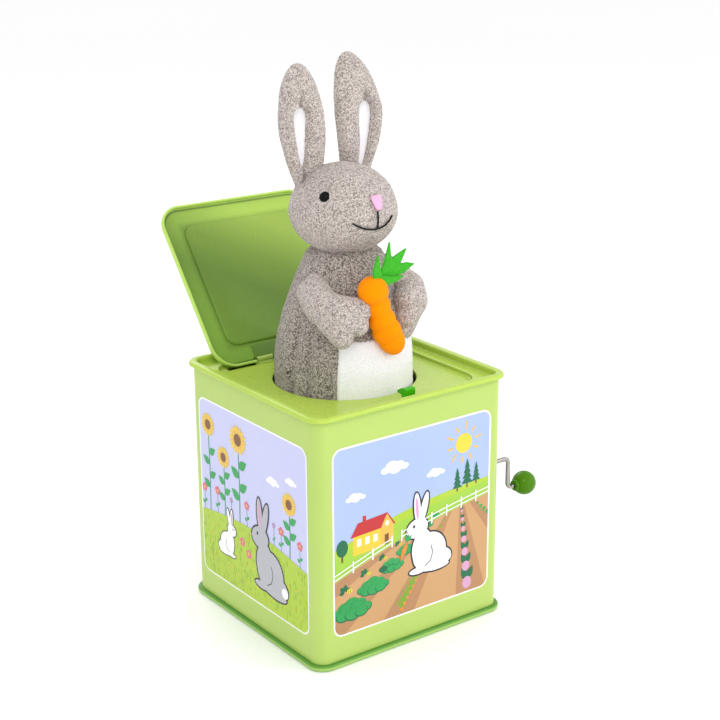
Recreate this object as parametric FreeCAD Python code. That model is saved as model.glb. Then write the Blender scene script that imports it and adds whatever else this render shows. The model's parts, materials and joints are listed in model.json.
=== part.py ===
import FreeCAD, Part
import math
import os

# A jack in the box: a tin box with a hinged lid, a sprung plush rabbit and a hand-cranked music movement.
# Millimetres. The origin is the middle of the underside, +Z is up, the front is -Y and the crank is on +X.

Vector = FreeCAD.Vector
X_AXIS = Vector(1, 0, 0)
Y_AXIS = Vector(0, 1, 0)
Z_AXIS = Vector(0, 0, 1)

# Tin box
WALL_HALF = 68.5
WALL_CORNER = 8.0
TIN = 0.5
BASE_BEAD = 2.75
BASE_BEAD_HEIGHT = 3.5
BASE_TIN = 0.6
WALL_BOTTOM = 0.65
WALL_TOP = 153.5
SEAM_X = 24.0
SEAM_HALF_WIDTH = 3.0
SEAM_RISE = 0.4

# Deck: the rolled rim, the ledge, the recess that the lid lies in and the puppet's hole
RIM_BULGE = 3.0
RIM_SKIRT = 152.6
RIM_ROUND = 2.0
RIM_UNDER_ROUND = 0.8
RIM_TOP = 155.5
RIM_INNER_HALF = 66.3
LEDGE_TOP = 151.2
RECESS_HALF = 58.8
RECESS_CORNER = 14.0
FLOOR_TOP = 148.6
DECK_TIN = 0.8
HOLE_RADIUS = 43.5
HOLE_HEM = 1.4
WALL_GAP = 0.05

# Lid, worked out closed and then swung open
HINGE_Y = 54.2
HINGE_Z = 151.0
LID_OPEN_DEG = 129.0
LID_HALF = 56.75
LID_CENTRE_Y = -0.25
LID_CORNER = 15.0
LID_BOTTOM = 149.1
LID_TOP = 152.7
LID_TIN = 0.6
LID_RIM = 1.6
PANEL_INSET = 14.0
PANEL_SINK = 1.6
HINGE_HALF = 28.0
HINGE_SEGMENTS = 5
HINGE_GAP = 0.3
KNUCKLE_RADIUS = 1.5
PIN_RADIUS = 0.7
PIN_CLEARANCE = 0.06
LEAF_TIN = 0.6
NOTCH_Y = 52.4
SLOT_X_RANGE = (29.0, 50.0)
SLOT_Y_RANGE = (51.2, 57.0)

# Latch
LATCH_Y = -59.7
LATCH_Z = 118.0
LATCH_X_RANGE = (-1.2, 6.0)
LATCH_SHANK_Y = (-61.5, -57.9)
LATCH_TOP = 157.0
NOSE_TIP_Y = -54.0
NOSE_UNDER = 153.1
NOSE_TIP_TOP = 154.8
LATCH_TUBE_X = (-1.0, 19.0)
LATCH_TUBE_RADIUS = 2.6
LATCH_PIN_RADIUS = 1.0
LATCH_CLEARANCE = 0.06
TAIL_X_RANGE = (14.5, 18.5)
LATCH_SLOT_X = (-1.9, 6.7)
LATCH_SLOT_Y = (-65.4, -57.3)

# Crank and music movement, both on axes along X
CRANK_Y = -51.0
CRANK_Z = 90.0
WIRE_RADIUS = 1.5
CRANK_ARM_X = 89.0
CRANK_ARM_LENGTH = 20.0
CRANK_BEND = 3.5
KNOB_X = 103.0
KNOB_RADIUS = 7.7
RUNNING_CLEARANCE = 0.06
MODULE = 0.5
PINION_TEETH = 14
GEAR_TEETH = 38
PRESSURE_ANGLE = math.radians(20)
BACKLASH = 0.1
CENTRE_EXTRA = 0.03
CENTRE_DISTANCE = MODULE * (PINION_TEETH + GEAR_TEETH) / 2 + CENTRE_EXTRA
DRUM_Y = -54.0
DRUM_Z = CRANK_Z - math.sqrt(CENTRE_DISTANCE ** 2 - (DRUM_Y - CRANK_Y) ** 2)
MESH_ANGLE = math.atan2(DRUM_Z - CRANK_Z, DRUM_Y - CRANK_Y)
GEAR_X_RANGE = (52.7, 55.7)
PINION_X_RANGE = (52.5, 56.5)
DRUM_X_RANGE = (23.5, 49.0)
DRUM_RADIUS = 6.5
PIN_HEIGHT = 0.8
TRACKS = 18
PINS_PER_TRACK = 3
ARBOR_RADIUS = 1.5
ARBOR_X_RANGE = (14.0, 61.0)
CAM_X_RANGE = (15.0, 18.0)
CAM_HUB_RADIUS = 4.5
CAM_LOBE_REACH = 8.0
FRAME_SHEET = 1.6
FRAME_BACK_Y = -66.4
FRAME_Z_RANGE = (66.0, 108.0)
LEFT_EAR_X = 20.0
RIGHT_EAR_X = 58.0
SIDE_PLATE_X = 66.3
SCREW_PLACES = ((-47.5, 102.5), (-57.0, 70.0))

# Puppet
SPRING_BOARD_RADIUS = 44.0
SPRING_BOARD_RANGE = (0.65, 3.65)
TUNIC_RADIUS = 42.0
TUNIC_SHEET = 2.5
TUNIC_BOTTOM = 4.0
TUNIC_PROFILE = ((42.0, 151.0), (41.2, 166.0), (39.6, 178.0), (34.5, 196.0), (28.0, 214.0), (22.0, 226.5))
SPRING_WIRE = 1.0
SPRING_BOTTOM_RADIUS = 33.0
SPRING_TOP_RADIUS = 15.0
SPRING_TURNS = 9
SPRING_END_LIFT = 0.5
NECK_PLATE_RANGE = (221.0, 223.0)
HEAD_CENTRE = Vector(0, 0, 252.5)
HEAD_HALF = (31.5, 32.0, 27.0)
EYE_RADIUS = 3.0
LEFT_EYE = Vector(-23.7, -15.0, 264.5)
RIGHT_EYE = Vector(26.0, -9.6, 263.4)
NOSE_HALF_TOP, NOSE_HALF_FOOT = 4.4, 0.9
NOSE_HEIGHT = (256.2, 265.6)
NOSE_DEPTH = (-32.6, -28.6)
THREAD_RADIUS = 0.65
ARM_RADII = (9.0, 11.0, 9.5)
BELLY_BOTTOM, BELLY_TOP = 100.0, (38.2, 183.0)
BELLY_SHEET = 0.7
BELLY_HALF_DEG = 48.0
LEAF_DEPTH = (-43.5, -41.5)


def rounded_prism(half, corner, low, high, centre_y=0.0):
    """A square prism with round corners, standing on z = low."""
    flat = half - corner
    edges = []
    for quarter in range(4):
        angle = quarter * math.pi / 2
        turn = FreeCAD.Rotation(Z_AXIS, math.degrees(angle))
        start = turn.multVec(Vector(half, -flat, low))
        end = turn.multVec(Vector(half, flat, low))
        edges.append(Part.LineSegment(start, end).toShape())
        middle = flat + corner * math.cos(math.pi / 4)
        bend = turn.multVec(Vector(middle, middle, low))
        finish = turn.multVec(Vector(flat, half, low))
        edges.append(Part.Arc(end, bend, finish).toShape())
    face = Part.Face(Part.Wire(edges))
    face.translate(Vector(0, centre_y, 0))
    return face.extrude(Vector(0, 0, high - low))


def block(x_range, y_range, z_range):
    """A box between three pairs of limits."""
    size = [limits[1] - limits[0] for limits in (x_range, y_range, z_range)]
    return Part.makeBox(*size, Vector(x_range[0], y_range[0], z_range[0]))


def rod_x(x_range, y, z, radius):
    """A cylinder along X."""
    return Part.makeCylinder(radius, x_range[1] - x_range[0], Vector(x_range[0], y, z), X_AXIS)


def rod_z(x, y, z_range, radius):
    """A cylinder along Z."""
    return Part.makeCylinder(radius, z_range[1] - z_range[0], Vector(x, y, z_range[0]), Z_AXIS)


def prism_x(outline, x_range):
    """A polygon of (y, z) points pulled along X."""
    points = [Vector(x_range[0], y, z) for y, z in outline]
    face = Part.Face(Part.makePolygon(points + [points[0]]))
    return face.extrude(Vector(x_range[1] - x_range[0], 0, 0))


def prism_z(outline, z_range):
    """A polygon of (x, y) points pulled along Z."""
    points = [Vector(x, y, z_range[0]) for x, y in outline]
    face = Part.Face(Part.makePolygon(points + [points[0]]))
    return face.extrude(Vector(0, 0, z_range[1] - z_range[0]))


def prism_y(outline, y_range):
    """A polygon of (x, z) points pulled along Y."""
    points = [Vector(x, y_range[0], z) for x, z in outline]
    face = Part.Face(Part.makePolygon(points + [points[0]]))
    return face.extrude(Vector(0, y_range[1] - y_range[0], 0))


def revolved(outline, start_deg=0.0, sweep_deg=360.0):
    """A closed outline of (radius, z) points turned about the Z axis; 0 degrees is +X."""
    points = [Vector(radius, 0, z) for radius, z in outline]
    face = Part.Face(Part.makePolygon(points + [points[0]]))
    face.rotate(Vector(0, 0, 0), Z_AXIS, start_deg)
    return face.revolve(Vector(0, 0, 0), Z_AXIS, sweep_deg)


def ellipsoid(centre, half, tilt_axis=X_AXIS, tilt_deg=0.0):
    """A sphere stretched to three half-lengths, then tilted about its middle."""
    matrix = FreeCAD.Matrix()
    matrix.scale(*half)
    shape = Part.makeSphere(1.0).transformGeometry(matrix)
    shape.rotate(Vector(0, 0, 0), tilt_axis, tilt_deg)
    shape.translate(Vector(*centre))
    return shape


def round_edges(shape, radius, chosen):
    """Fillet the edges that the test picks."""
    edges = [edge for edge in shape.Edges if chosen(edge)]
    return shape.makeFillet(radius, edges)


def square_loop(z, half, centre_y=0.0):
    """A test for the edges of a rounded square at one height and one half-size."""
    def chosen(edge):
        box = edge.BoundBox
        flat = abs(box.ZMin - z) < 0.01 and abs(box.ZMax - z) < 0.01
        reach = max(abs(box.XMin), abs(box.XMax), abs(box.YMin - centre_y), abs(box.YMax - centre_y))
        return flat and abs(reach - half) < 0.02
    return chosen


def circle_at(z, radius):
    """A test for one full circle about the Z axis."""
    def chosen(edge):
        box = edge.BoundBox
        return abs(box.ZMin - z) < 0.01 and abs(box.ZMax - z) < 0.01 and abs(box.XMax - radius) < 0.02
    return chosen


def bent_rod(points, bend, radius):
    """A round rod of straight runs joined by arcs of one bend radius."""
    edges = []
    start = points[0]
    for before, corner, after in zip(points, points[1:], points[2:]):
        back = (before - corner).normalize()
        ahead = (after - corner).normalize()
        half_turn = math.acos(max(-1.0, min(1.0, back.dot(ahead)))) / 2
        reach = bend / math.tan(half_turn)
        inward = (back + ahead).normalize()
        middle = corner + inward * (bend / math.sin(half_turn) - bend)
        arc_start = corner + back * reach
        arc_end = corner + ahead * reach
        edges.append(Part.LineSegment(start, arc_start).toShape())
        edges.append(Part.Arc(arc_start, middle, arc_end).toShape())
        start = arc_end
    edges.append(Part.LineSegment(start, points[-1]).toShape())
    section = Part.Wire(Part.Circle(points[0], points[1] - points[0], radius).toShape())
    return Part.Wire(edges).makePipeShell([section], True, False)


def limb(points, radii):
    """Balls at the points with cones between them, as one solid."""
    pieces = [Part.makeSphere(radius, point) for point, radius in zip(points, radii)]
    for (start, end), (first, last) in zip(zip(points, points[1:]), zip(radii, radii[1:])):
        run = end - start
        pieces.append(Part.makeCylinder(min(first, last), run.Length, start, run))
    return pieces[0].multiFuse(pieces[1:])


def gear(teeth, x_range, y, z, bore, tooth_angle):
    """A stub-toothed involute spur gear along X; tooth_angle is the direction of one tooth's middle."""
    pitch_radius = MODULE * teeth / 2
    base_radius = pitch_radius * math.cos(PRESSURE_ANGLE)
    tip_radius = pitch_radius + 0.8 * MODULE
    root_radius = pitch_radius - 1.1 * MODULE
    flank_start = max(base_radius, root_radius)
    half_at_pitch = (math.pi * MODULE / 2 - BACKLASH / 2) / (2 * pitch_radius)

    def involute(angle):
        return math.tan(angle) - angle

    def half_angle(radius):
        roll = involute(math.acos(min(1.0, base_radius / radius)))
        return half_at_pitch + involute(PRESSURE_ANGLE) - roll

    def point(radius, angle):
        return Vector(x_range[0], y + radius * math.cos(angle), z + radius * math.sin(angle))

    mid_radius = (flank_start + tip_radius) / 2
    edges = []
    for number in range(teeth):
        middle = tooth_angle + number * 2 * math.pi / teeth
        following = middle + 2 * math.pi / teeth
        low = half_angle(flank_start)
        mid = half_angle(mid_radius)
        top = half_angle(tip_radius)
        if root_radius < flank_start:
            edges.append(Part.LineSegment(point(root_radius, middle - low), point(flank_start, middle - low)))
        edges.append(Part.Arc(point(flank_start, middle - low), point(mid_radius, middle - mid),
                              point(tip_radius, middle - top)))
        edges.append(Part.Arc(point(tip_radius, middle - top), point(tip_radius, middle),
                              point(tip_radius, middle + top)))
        edges.append(Part.Arc(point(tip_radius, middle + top), point(mid_radius, middle + mid),
                              point(flank_start, middle + low)))
        if root_radius < flank_start:
            edges.append(Part.LineSegment(point(flank_start, middle + low), point(root_radius, middle + low)))
        edges.append(Part.Arc(point(root_radius, middle + low), point(root_radius, (middle + following) / 2),
                              point(root_radius, following - low)))
    face = Part.Face(Part.Wire([edge.toShape() for edge in edges]))
    blank = face.extrude(Vector(x_range[1] - x_range[0], 0, 0))
    return blank.cut(rod_x(x_range, y, z, bore))


# ---- the tin box ----

def base_panel():
    outer_half = WALL_HALF + BASE_BEAD
    pan = rounded_prism(outer_half, WALL_CORNER + BASE_BEAD, 0, BASE_BEAD_HEIGHT)
    pan = round_edges(pan, 1.3, square_loop(BASE_BEAD_HEIGHT, outer_half))
    pan = round_edges(pan, 1.3, square_loop(0, outer_half))
    pocket_half = WALL_HALF + WALL_GAP
    return pan.cut(rounded_prism(pocket_half, WALL_CORNER + WALL_GAP, BASE_TIN, BASE_BEAD_HEIGHT + 1))


def box_body():
    sleeve = rounded_prism(WALL_HALF, WALL_CORNER, WALL_BOTTOM, WALL_TOP)
    sleeve = sleeve.cut(rounded_prism(WALL_HALF - TIN, WALL_CORNER - TIN, 0, WALL_TOP + 1))
    seam = block((SEAM_X - SEAM_HALF_WIDTH, SEAM_X + SEAM_HALF_WIDTH),
                 (WALL_HALF - TIN, WALL_HALF + SEAM_RISE),
                 (BASE_BEAD_HEIGHT + 0.5, RIM_SKIRT - 0.5))
    holes = [rod_x((WALL_HALF - 3, WALL_HALF + 3), CRANK_Y, CRANK_Z, 3.1)]
    holes += [rod_x((WALL_HALF - 3, WALL_HALF + 3), y, z, 1.3) for y, z in SCREW_PLACES]
    return sleeve.fuse(seam).cut(holes)


def hinge_slots():
    slots = []
    for side in (-1, 1):
        low, high = sorted((side * SLOT_X_RANGE[0], side * SLOT_X_RANGE[1]))
        slots.append(block((low, high), SLOT_Y_RANGE, (FLOOR_TOP - 3, FLOOR_TOP + 0.5)))
    return slots


def top_panel():
    outer_half = WALL_HALF + RIM_BULGE
    rim = rounded_prism(outer_half, WALL_CORNER + RIM_BULGE, RIM_SKIRT, RIM_TOP)
    rim = round_edges(rim, RIM_ROUND, square_loop(RIM_TOP, outer_half))
    rim = round_edges(rim, RIM_UNDER_ROUND, square_loop(RIM_SKIRT, outer_half))
    inside = WALL_HALF - TIN - WALL_GAP
    plug = rounded_prism(inside, WALL_CORNER - TIN - WALL_GAP, LEDGE_TOP - DECK_TIN, RIM_TOP - 1)
    pan = rounded_prism(RECESS_HALF + DECK_TIN, RECESS_CORNER + DECK_TIN, FLOOR_TOP - DECK_TIN, LEDGE_TOP)
    hem = rod_z(0, 0, (FLOOR_TOP - DECK_TIN - HOLE_HEM, FLOOR_TOP), HOLE_RADIUS + DECK_TIN)
    deck = rim.multiFuse([plug, pan, hem]).removeSplitter()
    deck = deck.cut(rounded_prism(RIM_INNER_HALF, 6.0, LEDGE_TOP, RIM_TOP + 1))
    deck = deck.cut(rounded_prism(RECESS_HALF, RECESS_CORNER, FLOOR_TOP, RIM_TOP + 1))
    deck = deck.cut(rod_z(0, 0, (FLOOR_TOP - 5, FLOOR_TOP + 1), HOLE_RADIUS))
    deck = round_edges(deck, 1.6, square_loop(RIM_TOP, RIM_INNER_HALF))
    deck = round_edges(deck, 1.0, square_loop(LEDGE_TOP, RIM_INNER_HALF))
    deck = round_edges(deck, 0.9, square_loop(LEDGE_TOP, RECESS_HALF))
    deck = round_edges(deck, 0.9, square_loop(FLOOR_TOP, RECESS_HALF))
    deck = round_edges(deck, 0.5, circle_at(FLOOR_TOP, HOLE_RADIUS))
    groove = rounded_prism(WALL_HALF + WALL_GAP, WALL_CORNER + WALL_GAP, RIM_SKIRT - 1, WALL_TOP + WALL_GAP)
    groove = groove.cut(rounded_prism(inside, WALL_CORNER - TIN - WALL_GAP, RIM_SKIRT - 2, RIM_TOP))
    latch_slot = block(LATCH_SLOT_X, LATCH_SLOT_Y, (FLOOR_TOP - 3, RIM_TOP + 1))
    return deck.cut([groove, latch_slot] + hinge_slots())


# ---- the lid and its hinge ----

def hinge_segments(first):
    """The x limits of every other knuckle, starting with the given one."""
    length = 2 * HINGE_HALF / HINGE_SEGMENTS
    limits = []
    for number in range(first, HINGE_SEGMENTS, 2):
        start = -HINGE_HALF + number * length
        limits.append((start + HINGE_GAP / 2, start + length - HINGE_GAP / 2))
    return limits


def swung_open(shape):
    shape.rotate(Vector(0, HINGE_Y, HINGE_Z), X_AXIS, -LID_OPEN_DEG)
    return shape


def lid_panel():
    lid = rounded_prism(LID_HALF, LID_CORNER, LID_BOTTOM, LID_TOP, LID_CENTRE_Y)
    lid = round_edges(lid, 1.4, square_loop(LID_TOP, LID_HALF, LID_CENTRE_Y))
    lid = round_edges(lid, 0.75, square_loop(LID_BOTTOM, LID_HALF, LID_CENTRE_Y))
    inner_half = LID_HALF - LID_RIM
    under = LID_TOP - LID_TIN
    pan = rounded_prism(inner_half, LID_CORNER - LID_RIM, LID_BOTTOM - 1, under, LID_CENTRE_Y)
    pan = round_edges(pan, 1.2, square_loop(under, inner_half, LID_CENTRE_Y))
    lid = lid.cut(pan)
    lid = round_edges(lid, 0.7, square_loop(LID_BOTTOM, inner_half, LID_CENTRE_Y))
    panel_half = LID_HALF - PANEL_INSET
    sunk = rounded_prism(panel_half, 8.0, under - PANEL_SINK, under, LID_CENTRE_Y)
    sunk = round_edges(sunk, 1.3, square_loop(under - PANEL_SINK, panel_half, LID_CENTRE_Y))
    dish_half = panel_half - LID_TIN
    dish = rounded_prism(dish_half, 8.0 - LID_TIN, LID_TOP - PANEL_SINK, LID_TOP + 1, LID_CENTRE_Y)
    dish = round_edges(dish, 0.9, square_loop(LID_TOP - PANEL_SINK, dish_half, LID_CENTRE_Y))
    lid = lid.fuse(sunk).cut(dish)
    lid = round_edges(lid, 0.9, square_loop(LID_TOP, dish_half, LID_CENTRE_Y))
    notch = block((-HINGE_HALF - 1.5, HINGE_HALF + 1.5),
                  (NOTCH_Y, LID_HALF + 2),
                  (LID_BOTTOM - 1, LID_TOP + 1))
    return swung_open(lid.cut(notch))


def lid_hinge_leaf():
    under = LID_TOP - LID_TIN
    strip_y = (LID_CENTRE_Y + LID_HALF - PANEL_INSET + 2.0, NOTCH_Y - 0.1)
    pieces = [block((-HINGE_HALF, HINGE_HALF), strip_y, (under - LEAF_TIN, under))]
    for limits in hinge_segments(1):
        pieces.append(rod_x(limits, HINGE_Y, HINGE_Z, KNUCKLE_RADIUS))
        pieces.append(block(limits, (strip_y[1] - 0.5, HINGE_Y), (under - LEAF_TIN, under)))
    leaf = pieces[0].multiFuse(pieces[1:])
    bore = rod_x((-HINGE_HALF - 1, HINGE_HALF + 1), HINGE_Y, HINGE_Z, PIN_RADIUS + PIN_CLEARANCE)
    return swung_open(leaf.cut(bore))


def deck_hinge_leaf():
    strip_y = (HINGE_Y - 4.0, HINGE_Y + 3.6)
    strip_top = FLOOR_TOP + WALL_GAP + LEAF_TIN
    pieces = [block((-HINGE_HALF, HINGE_HALF), strip_y, (strip_top - LEAF_TIN, strip_top))]
    for limits in hinge_segments(0):
        pieces.append(rod_x(limits, HINGE_Y, HINGE_Z, KNUCKLE_RADIUS))
        pieces.append(block(limits, (HINGE_Y - 0.8, HINGE_Y + 0.8), (strip_top - 0.1, HINGE_Z - 1)))
    leaf = pieces[0].multiFuse(pieces[1:])
    return leaf.cut(rod_x((-HINGE_HALF - 1, HINGE_HALF + 1), HINGE_Y, HINGE_Z, PIN_RADIUS))


def hinge_pin():
    return rod_x((-HINGE_HALF, HINGE_HALF), HINGE_Y, HINGE_Z, PIN_RADIUS)


# ---- the latch ----

def latch_lever():
    front, back = LATCH_SHANK_Y
    hook = prism_x([(front, LATCH_Z), (back, LATCH_Z), (back, NOSE_UNDER), (NOSE_TIP_Y, NOSE_UNDER + 0.3),
                    (NOSE_TIP_Y, NOSE_TIP_TOP), (back, LATCH_TOP),
                    (front + 0.8, LATCH_TOP), (front, LATCH_TOP - 0.8)],
                   LATCH_X_RANGE)
    tail = prism_x([(LATCH_Y - 2.2, LATCH_Z - 1), (LATCH_Y + 2.1, LATCH_Z + 1), (-43.6, 90), (-43.6, 74),
                    (-45.6, 74), (-45.6, 89.4)], TAIL_X_RANGE)
    tube = rod_x(LATCH_TUBE_X, LATCH_Y, LATCH_Z, LATCH_TUBE_RADIUS)
    lever = tube.multiFuse([hook, tail])
    return lever.cut(rod_x((LATCH_TUBE_X[0] - 1, LATCH_TUBE_X[1] + 1), LATCH_Y, LATCH_Z,
                           LATCH_PIN_RADIUS + LATCH_CLEARANCE))


def latch_bracket():
    plate_y = (TIN - WALL_HALF + 0.05, TIN - WALL_HALF + 1.1)
    plate = block((-3.2, 21.2), plate_y, (LATCH_Z - 7, LATCH_Z + 8))
    ears = [block(limits, (plate_y[1] - 0.1, LATCH_Y + 3), (LATCH_Z - 3.5, LATCH_Z + 3.5))
            for limits in ((-3.2, -1.8), (19.8, 21.2))]
    bracket = plate.multiFuse(ears)
    return bracket.cut(rod_x((-5, 24), LATCH_Y, LATCH_Z, LATCH_PIN_RADIUS))


def latch_pin():
    shank = rod_x((-4.4, 22.0), LATCH_Y, LATCH_Z, LATCH_PIN_RADIUS)
    head = rod_x((-5.2, -3.3), LATCH_Y, LATCH_Z, 1.9)
    return shank.fuse(head)


def latch_spring():
    coil_radius = 3.35
    wire = 0.3
    turns = 4
    pitch = 0.8
    start_x = 9.6
    helix = Part.makeHelix(pitch, turns * pitch, coil_radius)
    section = Part.Wire(Part.Circle(Vector(coil_radius, 0, 0), Y_AXIS, wire).toShape())
    coil = Part.Wire(helix).makePipeShell([section], True, True)
    coil.rotate(Vector(0, 0, 0), Y_AXIS, 90)
    coil.translate(Vector(start_x, LATCH_Y, LATCH_Z))
    leg_z = LATCH_Z - coil_radius
    leg = Part.makeCylinder(wire, 3.4, Vector(start_x, LATCH_Y - 3.4, leg_z), Y_AXIS)
    return coil.fuse(leg)


# ---- the crank ----

def crank_wire():
    low_z = CRANK_Z - CRANK_ARM_LENGTH
    return bent_rod([Vector(50.5, CRANK_Y, CRANK_Z), Vector(CRANK_ARM_X, CRANK_Y, CRANK_Z),
                     Vector(CRANK_ARM_X, CRANK_Y, low_z), Vector(KNOB_X + 2.5, CRANK_Y, low_z)],
                    CRANK_BEND, WIRE_RADIUS)


def crank_knob():
    centre = Vector(KNOB_X, CRANK_Y, CRANK_Z - CRANK_ARM_LENGTH)
    ball = Part.makeSphere(KNOB_RADIUS, centre)
    collar = rod_x((KNOB_X - KNOB_RADIUS - 0.8, KNOB_X - 3), CRANK_Y, centre.z, 3.4)
    bore = rod_x((KNOB_X - KNOB_RADIUS - 2, KNOB_X + 3.0), CRANK_Y, centre.z, WIRE_RADIUS + RUNNING_CLEARANCE)
    return ball.fuse(collar).cut(bore)


def crank_bush():
    flange = rod_x((WALL_HALF, WALL_HALF + 1.3), CRANK_Y, CRANK_Z, 5.0)
    body = rod_x((SIDE_PLATE_X - 0.6, WALL_HALF + 0.1), CRANK_Y, CRANK_Z, 3.0)
    bush = flange.fuse(body)
    return bush.cut(rod_x((60, 75), CRANK_Y, CRANK_Z, WIRE_RADIUS + RUNNING_CLEARANCE))


def crank_clip():
    ring = rod_x((61.2, 62.0), CRANK_Y, CRANK_Z, 3.2)
    mouth = block((61, 62.2), (CRANK_Y, CRANK_Y + 4), (CRANK_Z - 0.8, CRANK_Z + 0.8))
    return ring.cut([rod_x((61, 62.2), CRANK_Y, CRANK_Z, WIRE_RADIUS), mouth])


# ---- the music movement ----

def crank_pinion():
    return gear(PINION_TEETH, PINION_X_RANGE, CRANK_Y, CRANK_Z, WIRE_RADIUS, MESH_ANGLE)


def drum_gear():
    half_tooth = math.pi / GEAR_TEETH
    return gear(GEAR_TEETH, GEAR_X_RANGE, DRUM_Y, DRUM_Z, ARBOR_RADIUS, MESH_ANGLE + math.pi + half_tooth)


def track_x(number):
    """The middle of one tune track along the drum."""
    margin = 1.2
    length = DRUM_X_RANGE[1] - DRUM_X_RANGE[0] - 2 * margin
    return DRUM_X_RANGE[0] + margin + length * number / (TRACKS - 1)


def pin_drum():
    drum = rod_x(DRUM_X_RANGE, DRUM_Y, DRUM_Z, DRUM_RADIUS)
    pins = []
    for track in range(TRACKS):
        for number in range(PINS_PER_TRACK):
            angle = math.radians(track * 47.0 + number * 360.0 / PINS_PER_TRACK)
            outward = Vector(0, math.cos(angle), math.sin(angle))
            foot = Vector(track_x(track), DRUM_Y, DRUM_Z) + outward * (DRUM_RADIUS - 0.4)
            pins.append(Part.makeCylinder(0.25, PIN_HEIGHT + 0.4, foot, outward))
    return drum.multiFuse(pins).cut(rod_x(DRUM_X_RANGE, DRUM_Y, DRUM_Z, ARBOR_RADIUS))


def drum_arbor():
    return rod_x(ARBOR_X_RANGE, DRUM_Y, DRUM_Z, ARBOR_RADIUS)


def trip_cam():
    hub = rod_x(CAM_X_RANGE, DRUM_Y, DRUM_Z, CAM_HUB_RADIUS)
    lobe = prism_x([(DRUM_Y - 4.2, DRUM_Z + 1), (DRUM_Y - 1.2, DRUM_Z + CAM_LOBE_REACH - 0.1),
                    (DRUM_Y + 1.2, DRUM_Z + CAM_LOBE_REACH - 0.1), (DRUM_Y + 4.2, DRUM_Z + 1)], CAM_X_RANGE)
    return hub.fuse(lobe).cut(rod_x(CAM_X_RANGE, DRUM_Y, DRUM_Z, ARBOR_RADIUS))


def movement_frame():
    inner_y = FRAME_BACK_Y + FRAME_SHEET
    low_z, high_z = FRAME_Z_RANGE
    side_x = SIDE_PLATE_X + FRAME_SHEET
    bed = prism_z([(LEFT_EAR_X, FRAME_BACK_Y), (62.5, FRAME_BACK_Y), (side_x, -61.2), (side_x, -43.5),
                   (SIDE_PLATE_X, -43.5), (SIDE_PLATE_X, -60.5), (61.8, inner_y), (LEFT_EAR_X, inner_y)],
                  FRAME_Z_RANGE)
    left_ear = block((LEFT_EAR_X, LEFT_EAR_X + FRAME_SHEET), (inner_y - 0.1, -47.0), (low_z + 4, DRUM_Z + 6))
    right_ear = block((RIGHT_EAR_X, RIGHT_EAR_X + FRAME_SHEET),
                      (inner_y - 0.1, -45.0),
                      (low_z + 4, CRANK_Z + 6))
    seat = block((DRUM_X_RANGE[0] + 0.5, DRUM_X_RANGE[1] - 0.5),
                 (inner_y - 0.1, DRUM_Y - 0.6),
                 (98.0, high_z - 1))
    frame = bed.multiFuse([left_ear, right_ear, seat])
    holes = [rod_x((LEFT_EAR_X - 1, RIGHT_EAR_X + 3), DRUM_Y, DRUM_Z, ARBOR_RADIUS + RUNNING_CLEARANCE),
             rod_x((RIGHT_EAR_X - 1, RIGHT_EAR_X + 3), CRANK_Y, CRANK_Z, WIRE_RADIUS + RUNNING_CLEARANCE),
             rod_x((SIDE_PLATE_X - 1, WALL_HALF), CRANK_Y, CRANK_Z, 3.0)]
    holes += [rod_x((SIDE_PLATE_X - 1, WALL_HALF), y, z, 1.2) for y, z in SCREW_PLACES]
    holes += [Part.makeCylinder(1.0, 7, Vector(x, DRUM_Y + 0.6, 103.0), Vector(0, -1, 0))
              for x in comb_screw_x()]
    return frame.cut(holes)


def comb_screw_x():
    return (30.0, 42.5)


def music_comb():
    low_x, high_x = DRUM_X_RANGE
    tip_z = DRUM_Z + DRUM_RADIUS + PIN_HEIGHT + 0.4
    plate = block((low_x + 0.5, high_x - 0.5), (DRUM_Y - 0.55, DRUM_Y + 0.35), (tip_z, 107.0))
    pitch = track_x(1) - track_x(0)
    cuts = [block((track_x(number) + pitch / 2 - 0.17, track_x(number) + pitch / 2 + 0.17),
                  (DRUM_Y - 1, DRUM_Y + 1), (tip_z - 1, 97.0 - 0.25 * number))
            for number in range(TRACKS - 1)]
    cuts += [Part.makeCylinder(1.05, 3, Vector(x, DRUM_Y - 1.5, 103.0), Y_AXIS) for x in comb_screw_x()]
    return plate.cut(cuts)


def slotted_screw(radius, head_radius, head_height, length):
    """A cheese-head screw along +Z with its head's underside at z = 0."""
    shank = Part.makeCylinder(radius, length, Vector(0, 0, -length))
    head = Part.makeCylinder(head_radius, head_height)
    slot = Part.makeBox(2 * head_radius + 1, 0.6, head_height,
                        Vector(-head_radius - 0.5, -0.3, head_height * 0.5))
    return shank.fuse(head).cut(slot)


def comb_screws():
    screws = []
    for x in comb_screw_x():
        screw = slotted_screw(1.0, 2.0, 1.3, 6.5)
        screw.rotate(Vector(0, 0, 0), X_AXIS, -90)
        screw.translate(Vector(x, DRUM_Y + 0.4, 103.0))
        screws.append(screw)
    return Part.Compound(screws)


def movement_screws():
    screws = []
    for y, z in SCREW_PLACES:
        screw = slotted_screw(1.2, 2.6, 1.6, 4.0)
        screw.rotate(Vector(0, 0, 0), Y_AXIS, 90)
        screw.translate(Vector(WALL_HALF + 0.02, y, z))
        screws.append(screw)
    return Part.Compound(screws)


# ---- the spring and what it stands on ----

def spring_board():
    return rod_z(0, 0, SPRING_BOARD_RANGE, SPRING_BOARD_RADIUS)


def spring_clips():
    ring_z = SPRING_BOARD_RANGE[1] + 0.05 + SPRING_WIRE
    channel = Part.makeTorus(SPRING_BOTTOM_RADIUS, SPRING_WIRE + 0.06, Vector(0, 0, ring_z))
    clips = []
    for angle in (60, 180, 300):
        clip = block((SPRING_BOTTOM_RADIUS - 3.4, SPRING_BOTTOM_RADIUS + 3.4), (-2.2, 2.2),
                     (SPRING_BOARD_RANGE[1] + 0.02, ring_z + SPRING_WIRE + 0.8))
        clip.rotate(Vector(0, 0, 0), Z_AXIS, angle)
        clips.append(clip.cut(channel))
    return Part.Compound(clips)


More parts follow.
